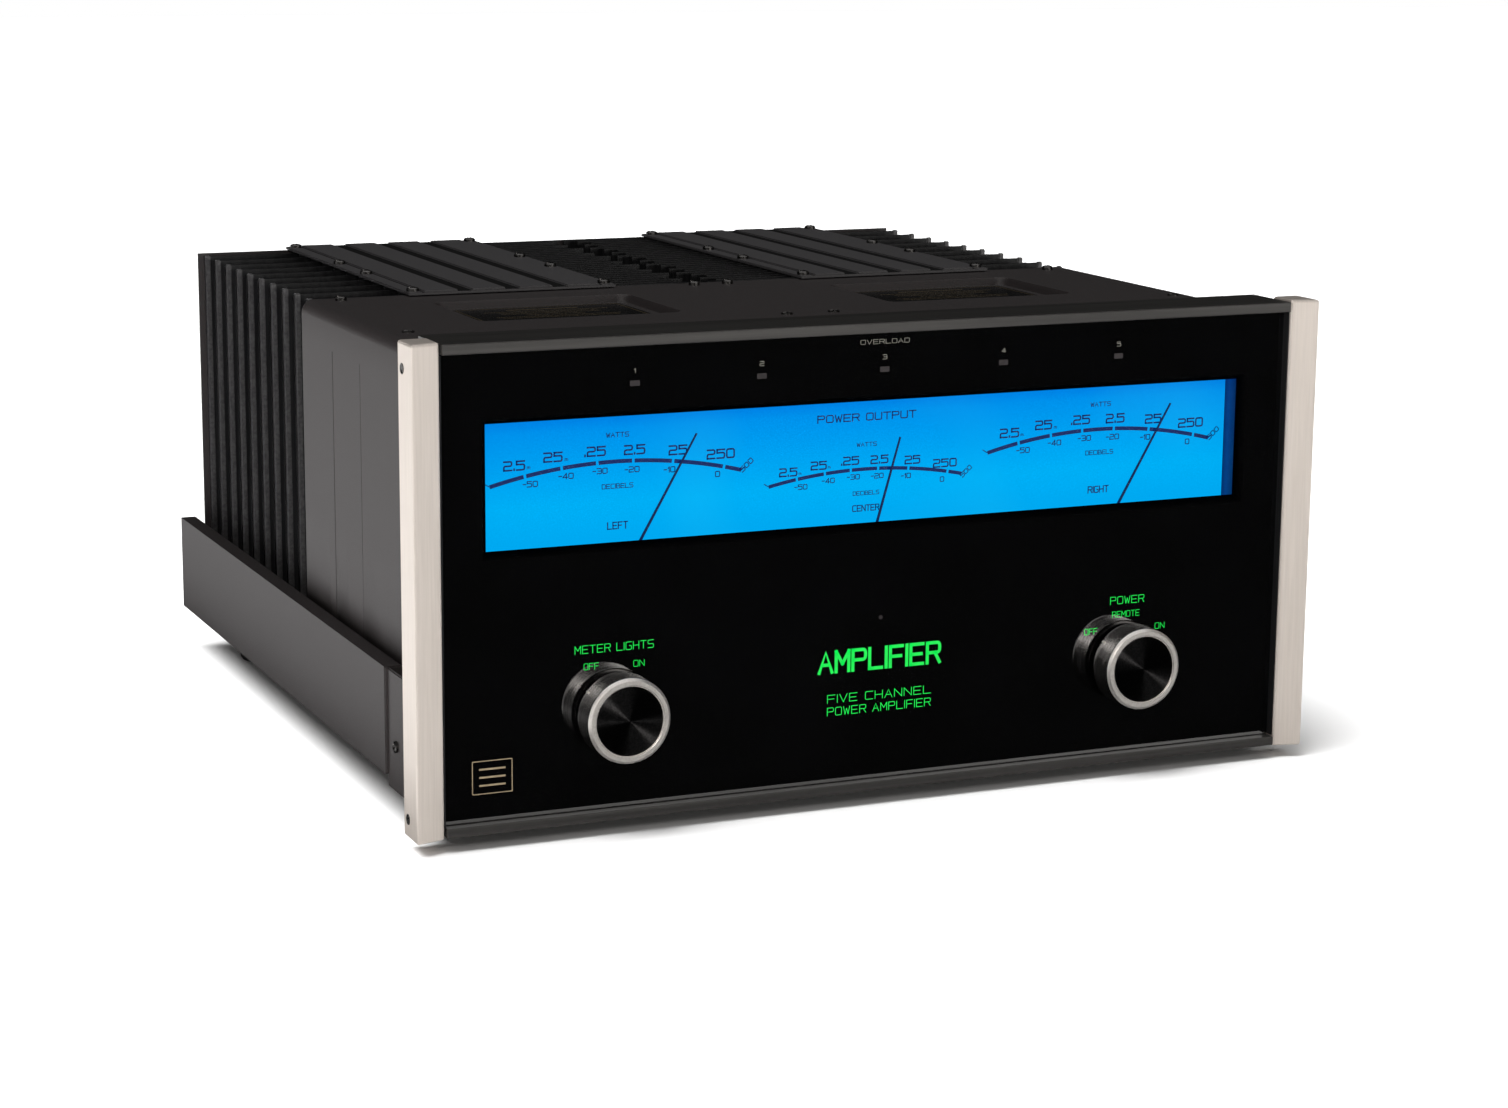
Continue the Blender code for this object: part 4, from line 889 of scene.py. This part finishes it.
def smoothed(value):
    value = min(1.0, max(0.0, value))
    return value * value * (3 - 2 * value)


def front_cover():
    """Bent cover behind the panel, with pressed wells that have round corners and seams down its sides."""
    low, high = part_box("front_cover")
    tray_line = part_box("heatsink_left_outer")[0][2]
    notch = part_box("chassis_tray")
    front, back = low[1], high[1]
    half = high[0]
    middles = module_middles()
    well_y = front + WELL_BACK
    fine = 0.0005

    def near(edge, way):
        return [edge + way * (step * fine - 0.001) for step in range(20)]

    across = {-(half - COVER_BEND), half - COVER_BEND, 0.0}
    for middle in middles:
        across.update(near(middle - WELL_WIDTH / 2, 1))
        across.update(near(middle + WELL_WIDTH / 2, -1))
        across.update((middle - 0.02, middle + 0.02))
    across = sorted(across)
    ys = {front, front + 0.0008, back - 0.0008, back, well_y + WELL_LENGTH / 2}
    ys.update(near(well_y, 1))
    ys.update(near(well_y + WELL_LENGTH, -1))
    step_y = notch[0][1] + 0.0385
    ys.update((step_y, step_y + 0.00001))
    for place, width, _ in SEAMS:
        middle = front + place
        ys.update((middle - width / 2, middle - width / 4, middle + width / 4, middle + width / 2))
    ys = sorted(ys)

    def well(x, y):
        depth = 0.0
        for middle in middles:
            dx = abs(x - middle) - (WELL_WIDTH / 2 - WELL_CORNER)
            dy = abs(y - well_y - WELL_LENGTH / 2) - (WELL_LENGTH / 2 - WELL_CORNER)
            outside = math.hypot(max(dx, 0), max(dy, 0)) + min(max(dx, dy), 0) - WELL_CORNER
            depth = max(depth, smoothed(-outside / WELL_WALL))
        return WELL_DEPTH * depth

    def seam(y):
        depth = 0.0
        for place, width, deep in SEAMS:
            if abs(y - front - place) <= width / 4 + 1e-6:
                depth = deep
        return depth

    rises = (0.0, 0.5, 0.93, 0.935, 1.0)

    def section(y):
        bottom = low[2] if y <= step_y else tray_line
        side_top = high[2] - COVER_BEND
        groove = seam(y)
        points = []
        for rise in rises:
            inset = groove if rise <= 0.93 else 0.0
            points.append((-half + inset, bottom + (side_top - bottom) * rise))
        for step in range(1, 6):
            angle = math.radians(180 - 90 * step / 6)
            points.append(
                (COVER_BEND - half + COVER_BEND * math.cos(angle), side_top + COVER_BEND * math.sin(angle))
            )
        flat = [(x, high[2] - well(x, y)) for x in across]
        mirrored = [(-x, z) for x, z in reversed(points)]
        return points + flat + mirrored

    mesh = bmesh.new()
    rows = [[mesh.verts.new((x, y, z)) for x, z in section(y)] for y in ys]
    for first, second in zip(rows, rows[1:]):
        for index in range(len(first) - 1):
            mesh.faces.new((first[index], second[index], second[index + 1], first[index + 1]))
    bmesh.ops.recalc_face_normals(mesh, faces=mesh.faces)
    cover = piece("front_cover_shell", mesh, PAINT, replaces=("front_cover",), smooth=35)
    if cover.data.polygons[0].normal.x > 0:
        cover.data.flip_normals()
    shell = cover.modifiers.new("sheet", "SOLIDIFY")
    shell.thickness = SHEET
    shell.offset = -1
    floor = high[2] - WELL_DEPTH
    plate_y, plate_thick = well_y + 0.0435, 0.0006
    for side, middle in zip(("left", "right"), middles):
        plate_mesh = bmesh.new()
        at = Matrix.Translation((middle, plate_y, floor + plate_thick / 2 + 0.0001))
        add_mesh(plate_mesh, outline_mesh([rounded(0.086, 0.046, 0.0015)], plate_thick, 0.0001), at)
        piece(f"label_plate_{side}", plate_mesh, LABEL)
        gold = bmesh.new()
        ink_at = Matrix.Translation((middle, plate_y, floor + plate_thick + 0.0001 + INK / 2))
        border = [rounded(0.082, 0.042, 0.001), rounded(0.0808, 0.0408, 0.0008)]
        add_mesh(gold, outline_mesh(border, INK), ink_at)
        for width, y, tall in LABEL_RULES:
            add_strip(gold, [(-width / 2, y), (width / 2, y)], tall, ink_at)
        piece(f"label_print_{side}", gold, GOLD_INK)


# ---------------------------------------------------------------- screws


def add_screw(mesh, at, axis, radius=0.0031, rise=0.0024):
    """Pan-head screw with a cross recess."""
    place = Matrix.Translation(at) @ axis_turn(axis)
    sides, rings = 24, 7
    slot, arm = 0.32, 0.66
    rows = [[place @ Vector((x, y, 0)) for x, y in circle(radius, sides=sides)]]
    for ring in range(rings):
        share = 1 - ring / rings
        row = []
        for x, y in circle(share, sides=sides):
            dome = rise * math.sqrt(max(0.0, 1 - (0.8 * share) ** 2))
            deep = min(abs(x), abs(y)) < slot / 2 and share < arm
            height = dome - (0.55 * rise if deep else 0.0)
            row.append(place @ Vector((radius * x, radius * y, height)))
        rows.append(row)
    verts = [[mesh.verts.new(point) for point in row] for row in rows]
    for first, second in zip(verts, verts[1:]):
        for s in range(sides):
            after = (s + 1) % sides
            mesh.faces.new((first[s], first[after], second[after], second[s]))
    tip = mesh.verts.new(place @ Vector((0, 0, 0.45 * rise)))
    for s in range(sides):
        mesh.faces.new((verts[-1][s], verts[-1][(s + 1) % sides], tip))
    mesh.faces.new(verts[0][::-1])


def top_screws():
    """Screws in the vent covers and the front cover."""
    vents = bmesh.new()
    for side, middle in zip(("left", "right"), module_middles()):
        low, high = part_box(f"vent_cover_{side}")
        flat = high[2] - 0.0008
        for y in (low[1] + 0.0065, low[1] + 0.083, low[1] + 0.130, high[1] - 0.006):
            for sign in (-1, 1):
                add_screw(vents, (middle + sign * 0.0493, y, flat), (0, 0, 1))
    piece("vent_screws", vents, SCREW, smooth=40)
    cover_low, cover_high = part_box("front_cover")
    top = bmesh.new()
    for x in (-0.191, 0.191, -0.009, 0.009):
        add_screw(top, (x, cover_high[1] - 0.0085, cover_high[2]), (0, 0, 1), 0.0028)
    for x in (-0.1955, 0.1955, -0.012, 0.012):
        add_screw(top, (x, cover_low[1] + 0.068, cover_high[2]), (0, 0, 1), 0.0028, 0.0010)
    piece("cover_screws", top, SCREW, smooth=40)


def vent_covers():
    """Ribbed covers over the heatsink tunnels: painted ribs with finely perforated grooves between them, the
    holes painted near-black as shade.
    """
    for side in ("left", "right"):
        low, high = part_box(f"vent_cover_{side}")
        rib_count, margin, groove, rise = 4, 0.008, 0.007, 0.0008
        rib = (high[0] - low[0] - 2 * margin - (rib_count - 1) * groove) / rib_count
        flat = high[2] - rise
        mesh = bmesh.new()
        add_soft_box(mesh, low, (high[0], high[1], flat), 0.0003)
        for index in range(rib_count):
            start = low[0] + margin + index * (rib + groove)
            corner = (start, low[1] + 0.0012, flat - 0.0006)
            add_soft_box(mesh, corner, (start + rib, high[1] - 0.0012, high[2]), 0.0005)
        for x in (low[0], high[0] - margin + 0.0008):
            add_soft_box(
                mesh, (x, low[1], flat - 0.0006), (x + margin - 0.0008, high[1], flat + 0.0002), 0.0003
            )
        mesh.normal_update()
        for face in mesh.faces:
            in_groove = face.normal.z > 0.9 and abs(face.calc_center_median().z - flat) < 0.0001
            face.material_index = 1 if in_groove else 0
        plain = (f"vent_cover_{side}",)
        piece(f"vent_cover_sheet_{side}", mesh, [RIB_PAINT, VENT_HOLE_SHADE], replaces=plain)


def outer_heatsinks():
    """Outer heatsinks: upright fins, every other one a little shorter, with a rounded bead at each tip, the
    beads in a lighter copy of the anodised finish as a painted highlight.
    """
    count, base, thick, bead, shorter = 20, 0.006, 0.0013, 0.0024, 0.0026
    for side, sign in (("left", -1), ("right", 1)):
        low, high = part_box(f"heatsink_{side}_outer")
        root, tip = (high[0], low[0]) if sign < 0 else (low[0], high[0])
        mesh = bmesh.new()
        plate = root + sign * base
        add_soft_box(mesh, (root, low[1], low[2]), (plate, high[1], high[2]), 0.0004)
        pitch = (high[1] - low[1] - bead) / (count - 1)
        for index in range(count):
            y = low[1] + bead / 2 + index * pitch
            end = tip - sign * (shorter if index % 2 else 0)
            top = high[2] - (0.0016 if index % 2 else 0)
            add_box(mesh, (plate - sign * 0.0002, y - thick / 2, low[2]), (end, y + thick / 2, top - 0.0004))
            flat_faces = set(mesh.faces)
            add_soft_box(mesh, (end - sign * 0.0030, y - bead / 2, low[2]), (end, y + bead / 2, top), 0.0005)
            # The beads take the lighter finish: a painted highlight on each fin tip.
            for face in set(mesh.faces) - flat_faces:
                face.material_index = 1
        plain = (f"heatsink_{side}_outer",)
        piece(f"fins_{side}_outer", mesh, [ANODISED, FIN_TIP_HIGHLIGHT], replaces=plain)


def tray_ends():
    """Plates that carry the tray's sides on to the end caps and close its channels, each with its screw."""
    low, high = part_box("chassis_tray")
    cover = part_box("front_cover")
    plates, screws = bmesh.new(), bmesh.new()
    start = low[1] + TRAY_TONGUE
    top = high[2] - 0.0004
    for sign in (-1, 1):
        inner, outer = sign * (cover[1][0] + 0.0004), sign * (high[0] - 0.0003)
        corner = (inner, start - 0.0012, low[2] + 0.0004)
        add_soft_box(plates, corner, (outer, start - 0.0002, top), 0.0003)
        face, back = sign * (high[0] - 0.0014), sign * (high[0] - 0.0030)
        corner = (face, cover[0][1] + 0.0012, low[2] - 0.0058)
        add_soft_box(plates, corner, (back, start + 0.0004, top), 0.0006)
        add_screw(screws, (face, cover[0][1] + 0.0260, low[2] + 0.0155), (sign, 0, 0), 0.0026, 0.0018)
    piece("tray_end_plates", plates, PAINT)
    piece("tray_end_screws", screws, SCREW, smooth=40)


def bulkhead():
    """Black wall behind the front cover, where the heatsinks start."""
    low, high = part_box("front_cover")
    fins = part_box("heatsink_left_outer")[0]
    mesh = bmesh.new()
    inset, gap = 0.003, 0.00003
    corner = (low[0] + inset, high[1] + gap, low[2] + inset)
    add_soft_box(mesh, corner, (high[0] - inset, fins[1] - gap, high[2] - inset), 0.00005)
    piece("front_bulkhead", mesh, DARK_PAINT)


def soften(name, width):
    """Round the edges of a sheet-metal part of the CAD."""
    weld = nodes[name].modifiers.new("weld", "WELD")
    weld.merge_threshold = 0.00001
    bevel = nodes[name].modifiers.new("bevel", "BEVEL")
    bevel.width = width
    bevel.segments = 2
    bevel.limit_method = "ANGLE"
    bevel.angle_limit = math.radians(50)


def feet():
    """Rubber feet with a rounded sole and a sunk screw underneath."""
    rubber, metal = bmesh.new(), bmesh.new()
    names = [f"foot_{row}_{side}" for row in ("front", "rear") for side in ("left", "right")]
    for name in names:
        low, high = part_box(name)
        radius = (high[0] - low[0]) / 2
        at = ((low[0] + high[0]) / 2, (low[1] + high[1]) / 2, 0)
        top = high[2]
        profile = [(0, 0.006), (0.006, 0.006), (0.006, 0.0004), (0.0064, 0)]
        profile += [(radius - 0.004, 0), (radius - 0.0028, 0.0004), (radius - 0.0020, 0.0016)]
        profile += [
            (radius - 0.0006, top - 0.0045), (radius - 0.0014, top - 0.0040), (radius - 0.0014, top - 0.0028)
        ]
        profile += [(radius, top - 0.0022), (radius, top), (0, top)]
        add_turned(rubber, profile, at, (0, 0, 1), 40)
        add_screw(metal, (at[0], at[1], 0.0058), (0, 0, -1), 0.0038, 0.0022)
    piece("rubber_feet", rubber, RUBBER, replaces=names, smooth=35)
    piece("foot_screws", metal, SCREW, smooth=40)


# ---------------------------------------------------------------- rear panel


STRIP_FACE = 0.0053
RULE_WIDTH = 0.0003
COAX_COUNT = 5
COAX_PITCH = 0.013
COAX_EDGE = 0.00615
COAX_RISE = 0.0075
TRIGGER_DROP = 0.0085


def socket_places():
    """Places of the balanced, coaxial and trigger sockets on the rear panel, from the input board's edges."""
    low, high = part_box("input_jack_board")
    z = (low[2] + high[2]) / 2
    openings = frame["record"]["physics"]["openings"]
    balanced = [opening["box_m"] for opening in openings if opening["name"].startswith("balanced_input")]
    balanced = [((first[0] + last[0]) / 2, (first[2] + last[2]) / 2) for first, last in balanced]
    coaxial = [(high[0] - COAX_EDGE - step * COAX_PITCH, z + COAX_RISE) for step in range(COAX_COUNT)][::-1]
    trigger = [(coaxial[index][0], z - TRIGGER_DROP) for index in (1, 3)]
    return balanced, coaxial, trigger


def rear_sockets():
    """Balanced sockets with three contacts and a latch, gold coaxial sockets and small trigger sockets."""
    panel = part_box("rear_panel")[1][1]
    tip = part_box("input_jack_board")[1][1]
    balanced, coaxial, trigger = socket_places()
    shells, inserts, gold, rings, latches = (bmesh.new() for _ in range(5))
    for x, z in balanced:
        mouth = 0.0017
        shell = [
            (0.0094, -0.0100), (0.0120, -0.0001), (0.0121, mouth - 0.0004), (0.0117, mouth), (0.0100, mouth)
        ]
        shell += [(0.0096, mouth - 0.0006), (0.0094, -0.0095), (0.0094, -0.0100)]
        add_turned(shells, shell, (x, panel, z), (0, 1, 0), 48)
        core = [(0, -0.0115), (0.0078, -0.0115), (0.0078, -0.0020), (0.0074, -0.0015), (0, -0.0015)]
        add_turned(inserts, core, (x, panel, z), (0, 1, 0), 40)
        for turn in (30, 150, 270):
            angle = math.radians(turn)
            at = (x + 0.0046 * math.cos(angle), panel - 0.0016, z + 0.0046 * math.sin(angle))
            contact = [
                (0.0009, 0), (0.0016, 0), (0.0016, 0.0004), (0.0013, 0.0006), (0.0009, 0.0002), (0.0009, 0)
            ]
            add_turned(gold, contact, at, (0, 1, 0), 16)
        add_soft_box(
            latches, (x - 0.0022, panel - 0.004, z + 0.0080), (x + 0.0022, panel + 0.0021, z + 0.0104), 0.0004
        )
    for x, z in coaxial:
        reach = tip - panel
        sleeve = [(0.0030, reach - 0.004), (0.0030, reach + 0.0002)]
        sleeve += [(0.0040, reach + 0.0002), (0.0043, reach - 0.0002)]
        sleeve += [
            (0.0043, 0.0022), (0.0056, 0.0020), (0.0056, 0.0002), (0.0030, 0.0002), (0.0030, reach - 0.004)
        ]
        add_turned(gold, sleeve, (x, panel, z), (0, 1, 0), 32)
        core = [(0.0010, reach - 0.002), (0.0010, reach + 0.0001)]
        core += [(0.0029, reach + 0.0001), (0.0029, reach - 0.002)]
        add_turned(rings, core + core[:1], (x, panel, z), (0, 1, 0), 24)
    for x, z in trigger:
        collar = [(0.0017, 0.0002), (0.0048, 0.0002), (0.0048, 0.0012)]
        collar += [(0.0040, 0.0019), (0.0020, 0.0019), (0.0017, 0.0012)]
        add_turned(shells, collar + collar[:1], (x, panel, z), (0, 1, 0), 24)
    piece("socket_shells", shells, STEEL, smooth=35)
    piece("socket_inserts", inserts, PLASTIC, smooth=35)
    piece("socket_gold", gold, GOLD, smooth=35)
    piece("socket_rings", rings, WHITE_PLASTIC, smooth=35)
    piece("socket_latches", latches, STEEL)


def inlet_details():
    """Three blades in the mains inlet, its flange screws, and the ring round its mouth."""
    low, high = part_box("mains_inlet")
    x, z = (low[0] + high[0]) / 2, (low[2] + high[2]) / 2
    blades, lip, screws = bmesh.new(), bmesh.new(), bmesh.new()
    for dx, dz in ((-0.007, -0.002), (0.007, -0.002), (0, 0.002)):
        corner = (x + dx - 0.001, high[1] - 0.0172, z + dz - 0.002)
        add_soft_box(blades, corner, (x + dx + 0.001, high[1] - 0.0012, z + dz + 0.002), 0.0004)
    half_x, half_z, cut = 0.0122, 0.0084, 0.0045
    mouth = [(-half_x, -half_z), (half_x, -half_z), (half_x, half_z - cut), (half_x - cut, half_z)]
    mouth += [(cut - half_x, half_z), (-half_x, half_z - cut)]
    ring = outline_mesh([rounded(0.0290, 0.0214, 0.003), mouth], 0.0010, 0.0002)
    add_mesh(lip, ring, facing_rear(x, high[1] + 0.0005, z))
    for sign in (-1, 1):
        add_screw(screws, (x + sign * 0.0200, high[1], z), (0, 1, 0), 0.003, 0.0014)
    piece("inlet_blades", blades, STEEL)
    piece("inlet_lip", lip, PLASTIC, smooth=30)
    piece("inlet_screws", screws, SCREW, smooth=40)


def fuse_cap():
    """Bayonet cap with gripping flutes and a coin slot in its face."""
    low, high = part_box("fuse_cap")
    x, z = (low[0] + high[0]) / 2, (low[2] + high[2]) / 2
    radius = (high[0] - low[0]) / 2
    head = high[1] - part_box("fuse_holder")[1][1] - 0.0003
    mesh = bmesh.new()
    grip = outline_mesh([fluted(radius, 0.0004, 18)], head - 0.0008, 0.0004)
    add_mesh(mesh, grip, facing_rear(x, high[1] - head / 2 - 0.0004, z))
    slot_side, inner = 0.0009, radius - 0.0012
    for sign in (-1, 1):
        half = [(right, up) for right, up in circle(inner, sides=40) if sign * up > slot_side]
        half.sort(key=lambda point: math.atan2(sign * point[1], point[0]))
        edge = math.sqrt(inner ** 2 - slot_side ** 2)
        outline = [(edge, sign * slot_side), *half, (-edge, sign * slot_side)]
        add_mesh(mesh, outline_mesh([outline], 0.0008, 0.0001), facing_rear(x, high[1] - 0.0004, z))
    plug = high[1] - head - low[1]
    add_turned(mesh, [(0, 0), (0.0049, 0), (0.0049, plug), (0, plug)], (x, low[1], z), (0, 1, 0), 24)
    piece("fuse_cap_grip", mesh, PLASTIC, "fuse_cap", ("fuse_cap",), smooth=30)


def fluted(radius, depth, flutes, per_flute=6):
    """Points round a grip whose edge dips between its ridges."""
    count = flutes * per_flute
    points = []
    for step in range(count):
        angle = math.tau * step / count
        r = radius - depth * (0.5 - 0.5 * math.cos(angle * flutes))
        points.append((r * math.cos(angle), r * math.sin(angle)))
    return points


def binding_posts():
    """Gold studs and fluted nuts, with a red or black ring at each nut's end, and the posts' printing."""
    low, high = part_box("speaker_terminal_strip")
    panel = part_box("rear_panel")[1][1]
    studs, ink = bmesh.new(), bmesh.new()
    face = panel + STRIP_FACE
    middle_z = (low[2] + high[2]) / 2
    for index in range(5):
        pair = []
        for pole in ("negative", "positive"):
            node = f"terminal_nut_ch{index + 1}_{pole}"
            nut_low, nut_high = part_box(node)
            x, z = (nut_low[0] + nut_high[0]) / 2, (nut_low[2] + nut_high[2]) / 2
            radius = (nut_high[0] - nut_low[0]) / 2
            length = nut_high[1] - nut_low[1]
            pair.append(x)
            nut = bmesh.new()
            bore = circle(0.00325, sides=24)
            grip = outline_mesh([fluted(radius, 0.0005, 20), bore], length - 0.0012, 0.0004)
            add_mesh(nut, grip, facing_rear(x, nut_low[1] + length / 2 + 0.0006, z))
            base = outline_mesh([circle(radius - 0.0010, sides=40), bore], 0.0010, 0.0002)
            add_mesh(nut, base, facing_rear(x, nut_low[1] + 0.0005, z))
            gold_faces = len(nut.faces)
            ring = outline_mesh([circle(0.0064, sides=40), circle(0.0042, sides=40)], 0.0008, 0.0002)
            add_mesh(nut, ring, facing_rear(x, nut_high[1] + 0.0004, z))
            for nut_face in list(nut.faces)[gold_faces:]:
                nut_face.material_index = 1
            colour = RED if pole == "positive" else PLASTIC
            name = f"binding_nut_ch{index + 1}_{pole}"
            piece(name, nut, [GOLD, colour], node, (node,), smooth=30)
            end = high[1] - face
            stud = [(0, -0.001), (0.0071, -0.001), (0.0072, 0.0001)]
            stud += [(0.0072, 0.0023), (0.0069, 0.0026), (0.0030, 0.0026)]
            stud += [(0.0030, end - 0.0006), (0.0024, end + 0.0001), (0, end + 0.0001)]
            add_turned(studs, stud, (x, face, z), (0, 1, 0), 32)
            sign_z = middle_z + 0.0112
            add_words(ink, "-" if pole == "negative" else "+", facing_rear(x, face + INK, sign_z), 0.0024)
        add_words(ink, str(index + 1), facing_rear(sum(pair) / 2, face + INK, sign_z), 0.0030)
        under = facing_rear(sum(pair) / 2, face + INK, middle_z - 0.0118)
        add_strip(ink, [(-0.0185, 0), (0.0185, 0)], RULE_WIDTH, under)
    piece("binding_studs", studs, GOLD, smooth=35)
    balanced, coaxial, trigger = socket_places()
    at_panel = panel + INK / 2
    for index, (x, z) in enumerate(balanced):
        add_words(ink, str(index + 1), facing_rear(x, at_panel, z - 0.0150), 0.0026)
    for index, (x, z) in enumerate(coaxial):
        add_words(ink, str(index + 1), facing_rear(x, at_panel, z + 0.0085), 0.0022)
    left, right = balanced[0][0] - 0.015, trigger[-1][0] + 0.016
    half = (right - left) / 2
    for z in (balanced[0][1] - 0.0185, coaxial[0][1] + 0.0118):
        add_strip(ink, [(-half, 0), (half, 0)], RULE_WIDTH, facing_rear(left + half, at_panel, z))
    piece("rear_printing", ink, PALE_INK)


def rear_screws():
    """Screws round the rear panel and the terminal strip, and in the bottom cover."""
    low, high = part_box("rear_panel")
    mesh = bmesh.new()
    for z in (low[2] + 0.0042, high[2] - 0.006):
        for step in range(6):
            x = (step - 2.5) * (high[0] - low[0] - 0.020) / 5
            add_screw(mesh, (x, high[1], z), (0, 1, 0))
    for sign in (-1, 1):
        for rise in (0.30, 0.55, 0.78):
            z = low[2] + rise * (high[2] - low[2])
            add_screw(mesh, (sign * (high[0] - 0.007), high[1], z), (0, 1, 0))
    strip_low, strip_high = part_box("speaker_terminal_strip")
    for sign in (-1, 1):
        at = (sign * (strip_high[0] - 0.005), high[1] + STRIP_FACE, (strip_low[2] + strip_high[2]) / 2)
        add_screw(mesh, at, (0, 1, 0), 0.0026)
    base_low, base_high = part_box("bottom_cover")
    for x in (base_low[0] + 0.008, 0, base_high[0] - 0.008):
        for y in (base_low[1] + 0.010, (base_low[1] + base_high[1]) / 2, base_high[1] - 0.010):
            add_screw(mesh, (x, y, base_low[2]), (0, 0, -1))
    piece("panel_screws", mesh, SCREW, smooth=40)


def cap_screws():
    """Recessed screws in the outer faces of the end caps."""
    mesh = bmesh.new()
    for side, sign in (("left", -1), ("right", 1)):
        low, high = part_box(f"end_cap_{side}")
        face = low[0] if sign < 0 else high[0]
        for z in (low[2] + 0.0085, high[2] - 0.0115):
            head = [(0, 0), (0.0024, 0), (0.0024, 0.0002), (0.0021, 0.0003), (0.0016, 0.00005), (0, 0.00005)]
            add_turned(mesh, head, (face, low[1] + 0.0125, z), (sign, 0, 0), 20)
    piece("cap_screws", mesh, SCREW, smooth=30)


# ---------------------------------------------------------------- stage


def camera():
    """Camera of the studio view: left of the front panel and slightly above it, with no shift."""
    yaw, pitch, roll = math.radians(-23.809), math.radians(11.634), math.radians(0.482)
    back = Vector((math.sin(yaw) * math.cos(pitch), -math.cos(yaw) * math.cos(pitch), math.sin(pitch)))
    right = Vector((math.cos(yaw), math.sin(yaw), 0))
    up = back.cross(right)
    rolled_right = math.cos(roll) * right + math.sin(roll) * up
    rolled_up = math.cos(roll) * up - math.sin(roll) * right
    data = bpy.data.cameras.new("camera")
    data.sensor_width = 36
    data.lens = 76.22
    data.clip_start = 0.05
    data.clip_end = 60
    obj = bpy.data.objects.new("camera", data)
    turn = Matrix((rolled_right, rolled_up, back)).transposed().to_4x4()
    obj.matrix_world = Matrix.Translation((-0.620455, -1.479236, 0.404230)) @ turn
    bpy.context.scene.collection.objects.link(obj)
    bpy.context.scene.camera = obj


def softbox(name, at, aim, width, height, brightness, colour=(1, 1, 1)):
    """Rectangular light. Brightness is what its face looks like to the camera, where 1 is white."""
    data = bpy.data.lights.new(name, "AREA")
    data.shape = "RECTANGLE"
    data.size, data.size_y = width, height
    data.energy = brightness * math.pi * width * height
    data.color = colour
    obj = bpy.data.objects.new(name, data)
    way = Vector(aim) - Vector(at)
    obj.matrix_world = Matrix.Translation(at) @ way.to_track_quat("-Z", "Y").to_matrix().to_4x4()
    obj.visible_camera = False
    bpy.context.scene.collection.objects.link(obj)


def keep_off(light_name, names):
    """Keep a light off some objects."""
    apart = bpy.data.collections.new(f"{light_name}_kept_off")
    for name in names:
        apart.objects.link(bpy.data.objects[name])
    for entry in apart.collection_objects:
        entry.light_linking.link_state = "EXCLUDE"
    bpy.data.objects[light_name].light_linking.receiver_collection = apart


def sky(name, strength, spread, lean):
    """Even light from above, as from a wide ceiling. A negative lean brings it from the object's left."""
    data = bpy.data.lights.new(name, "SUN")
    data.energy = strength
    data.angle = math.radians(spread)
    obj = bpy.data.objects.new(name, data)
    obj.rotation_euler = (0, math.radians(lean), 0)
    bpy.context.scene.collection.objects.link(obj)
    return obj


def studio():
    """Pale floor, white backdrop and large soft lights."""
    mesh = bmesh.new()
    bmesh.ops.create_grid(mesh, x_segments=2, y_segments=2, size=9.0)
    data = bpy.data.meshes.new("floor")
    mesh.to_mesh(data)
    mesh.free()
    floor = bpy.data.objects.new("floor", data)
    pale = plain_finish("floor_white", (0.86, 0.86, 0.86), (0.88, 0.88, 0.88), (0.8, 0.9), 0.0, 2.0, spec=0.0)
    data.materials.append(pale)
    bpy.context.scene.collection.objects.link(floor)
    floor.visible_glossy = False
    world = bpy.data.worlds.new("backdrop")
    world.use_nodes = True
    bpy.context.scene.world = world
    tree = world.node_tree
    path = tree.nodes.new("ShaderNodeLightPath")
    white = tree.nodes["Background"]
    set_inputs(white, {"Color": (1, 1, 1, 1), "Strength": 1.0})
    dim = tree.nodes.new("ShaderNodeBackground")
    set_inputs(dim, {"Color": (1, 1, 1, 1), "Strength": 0.005})
    mix = tree.nodes.new("ShaderNodeMixShader")
    tree.links.new(path.outputs["Is Camera Ray"], mix.inputs[0])
    tree.links.new(dim.outputs[0], mix.inputs[1])
    tree.links.new(white.outputs[0], mix.inputs[2])
    tree.links.new(mix.outputs[0], tree.nodes["World Output"].inputs["Surface"])
    sky("ceiling", 0.95, 80, 0)
    floor_sky = sky("floor_wash", 5.2, 45, -22)
    only_floor = bpy.data.collections.new("floor_wash_receivers")
    only_floor.objects.link(floor)
    floor_sky.light_linking.receiver_collection = only_floor
    softbox("floor_bounce", (-1.44, 0.9, 0.005), (-1.44, 0.9, 1.0), 2.36, 2.8, 1.05)
    softbox("left_front", (-2.6, -1.1, 0.75), (-0.2, -0.2, 0.1), 1.5, 1.4, 0.7)
    softbox("front_low", (0.9, -2.4, 0.42), (0, -0.2, 0.1), 1.8, 0.5, 4.0, (1.0, 0.98, 0.95))
    softbox("front_high", (-1.6, -2.4, 1.5), (0, -0.2, 0.1), 1.0, 0.7, 8.0, (1.0, 0.97, 0.94))
    bpy.context.scene.view_settings.view_transform = "Standard"


dress_all()
camera()
studio()
glass_panel()
trim_strips()
meter_printing()
front_printing()
knob("lights", "lights_knob_turn", KNOB_REST_TURN)
knob("power", "power_knob_turn", KNOB_REST_TURN)
front_cover()
vent_covers()
outer_heatsinks()
tray_ends()
bulkhead()
for sheet in ("chassis_tray", "panel_top_rail", "panel_bottom_rail", "bottom_cover"):
    soften(sheet, SHEET_EDGE)
feet()
top_screws()
cap_screws()
rear_sockets()
inlet_details()
fuse_cap()
binding_posts()
rear_screws()
keep_off("front_low", ("lights_knob_disc", "power_knob_disc"))
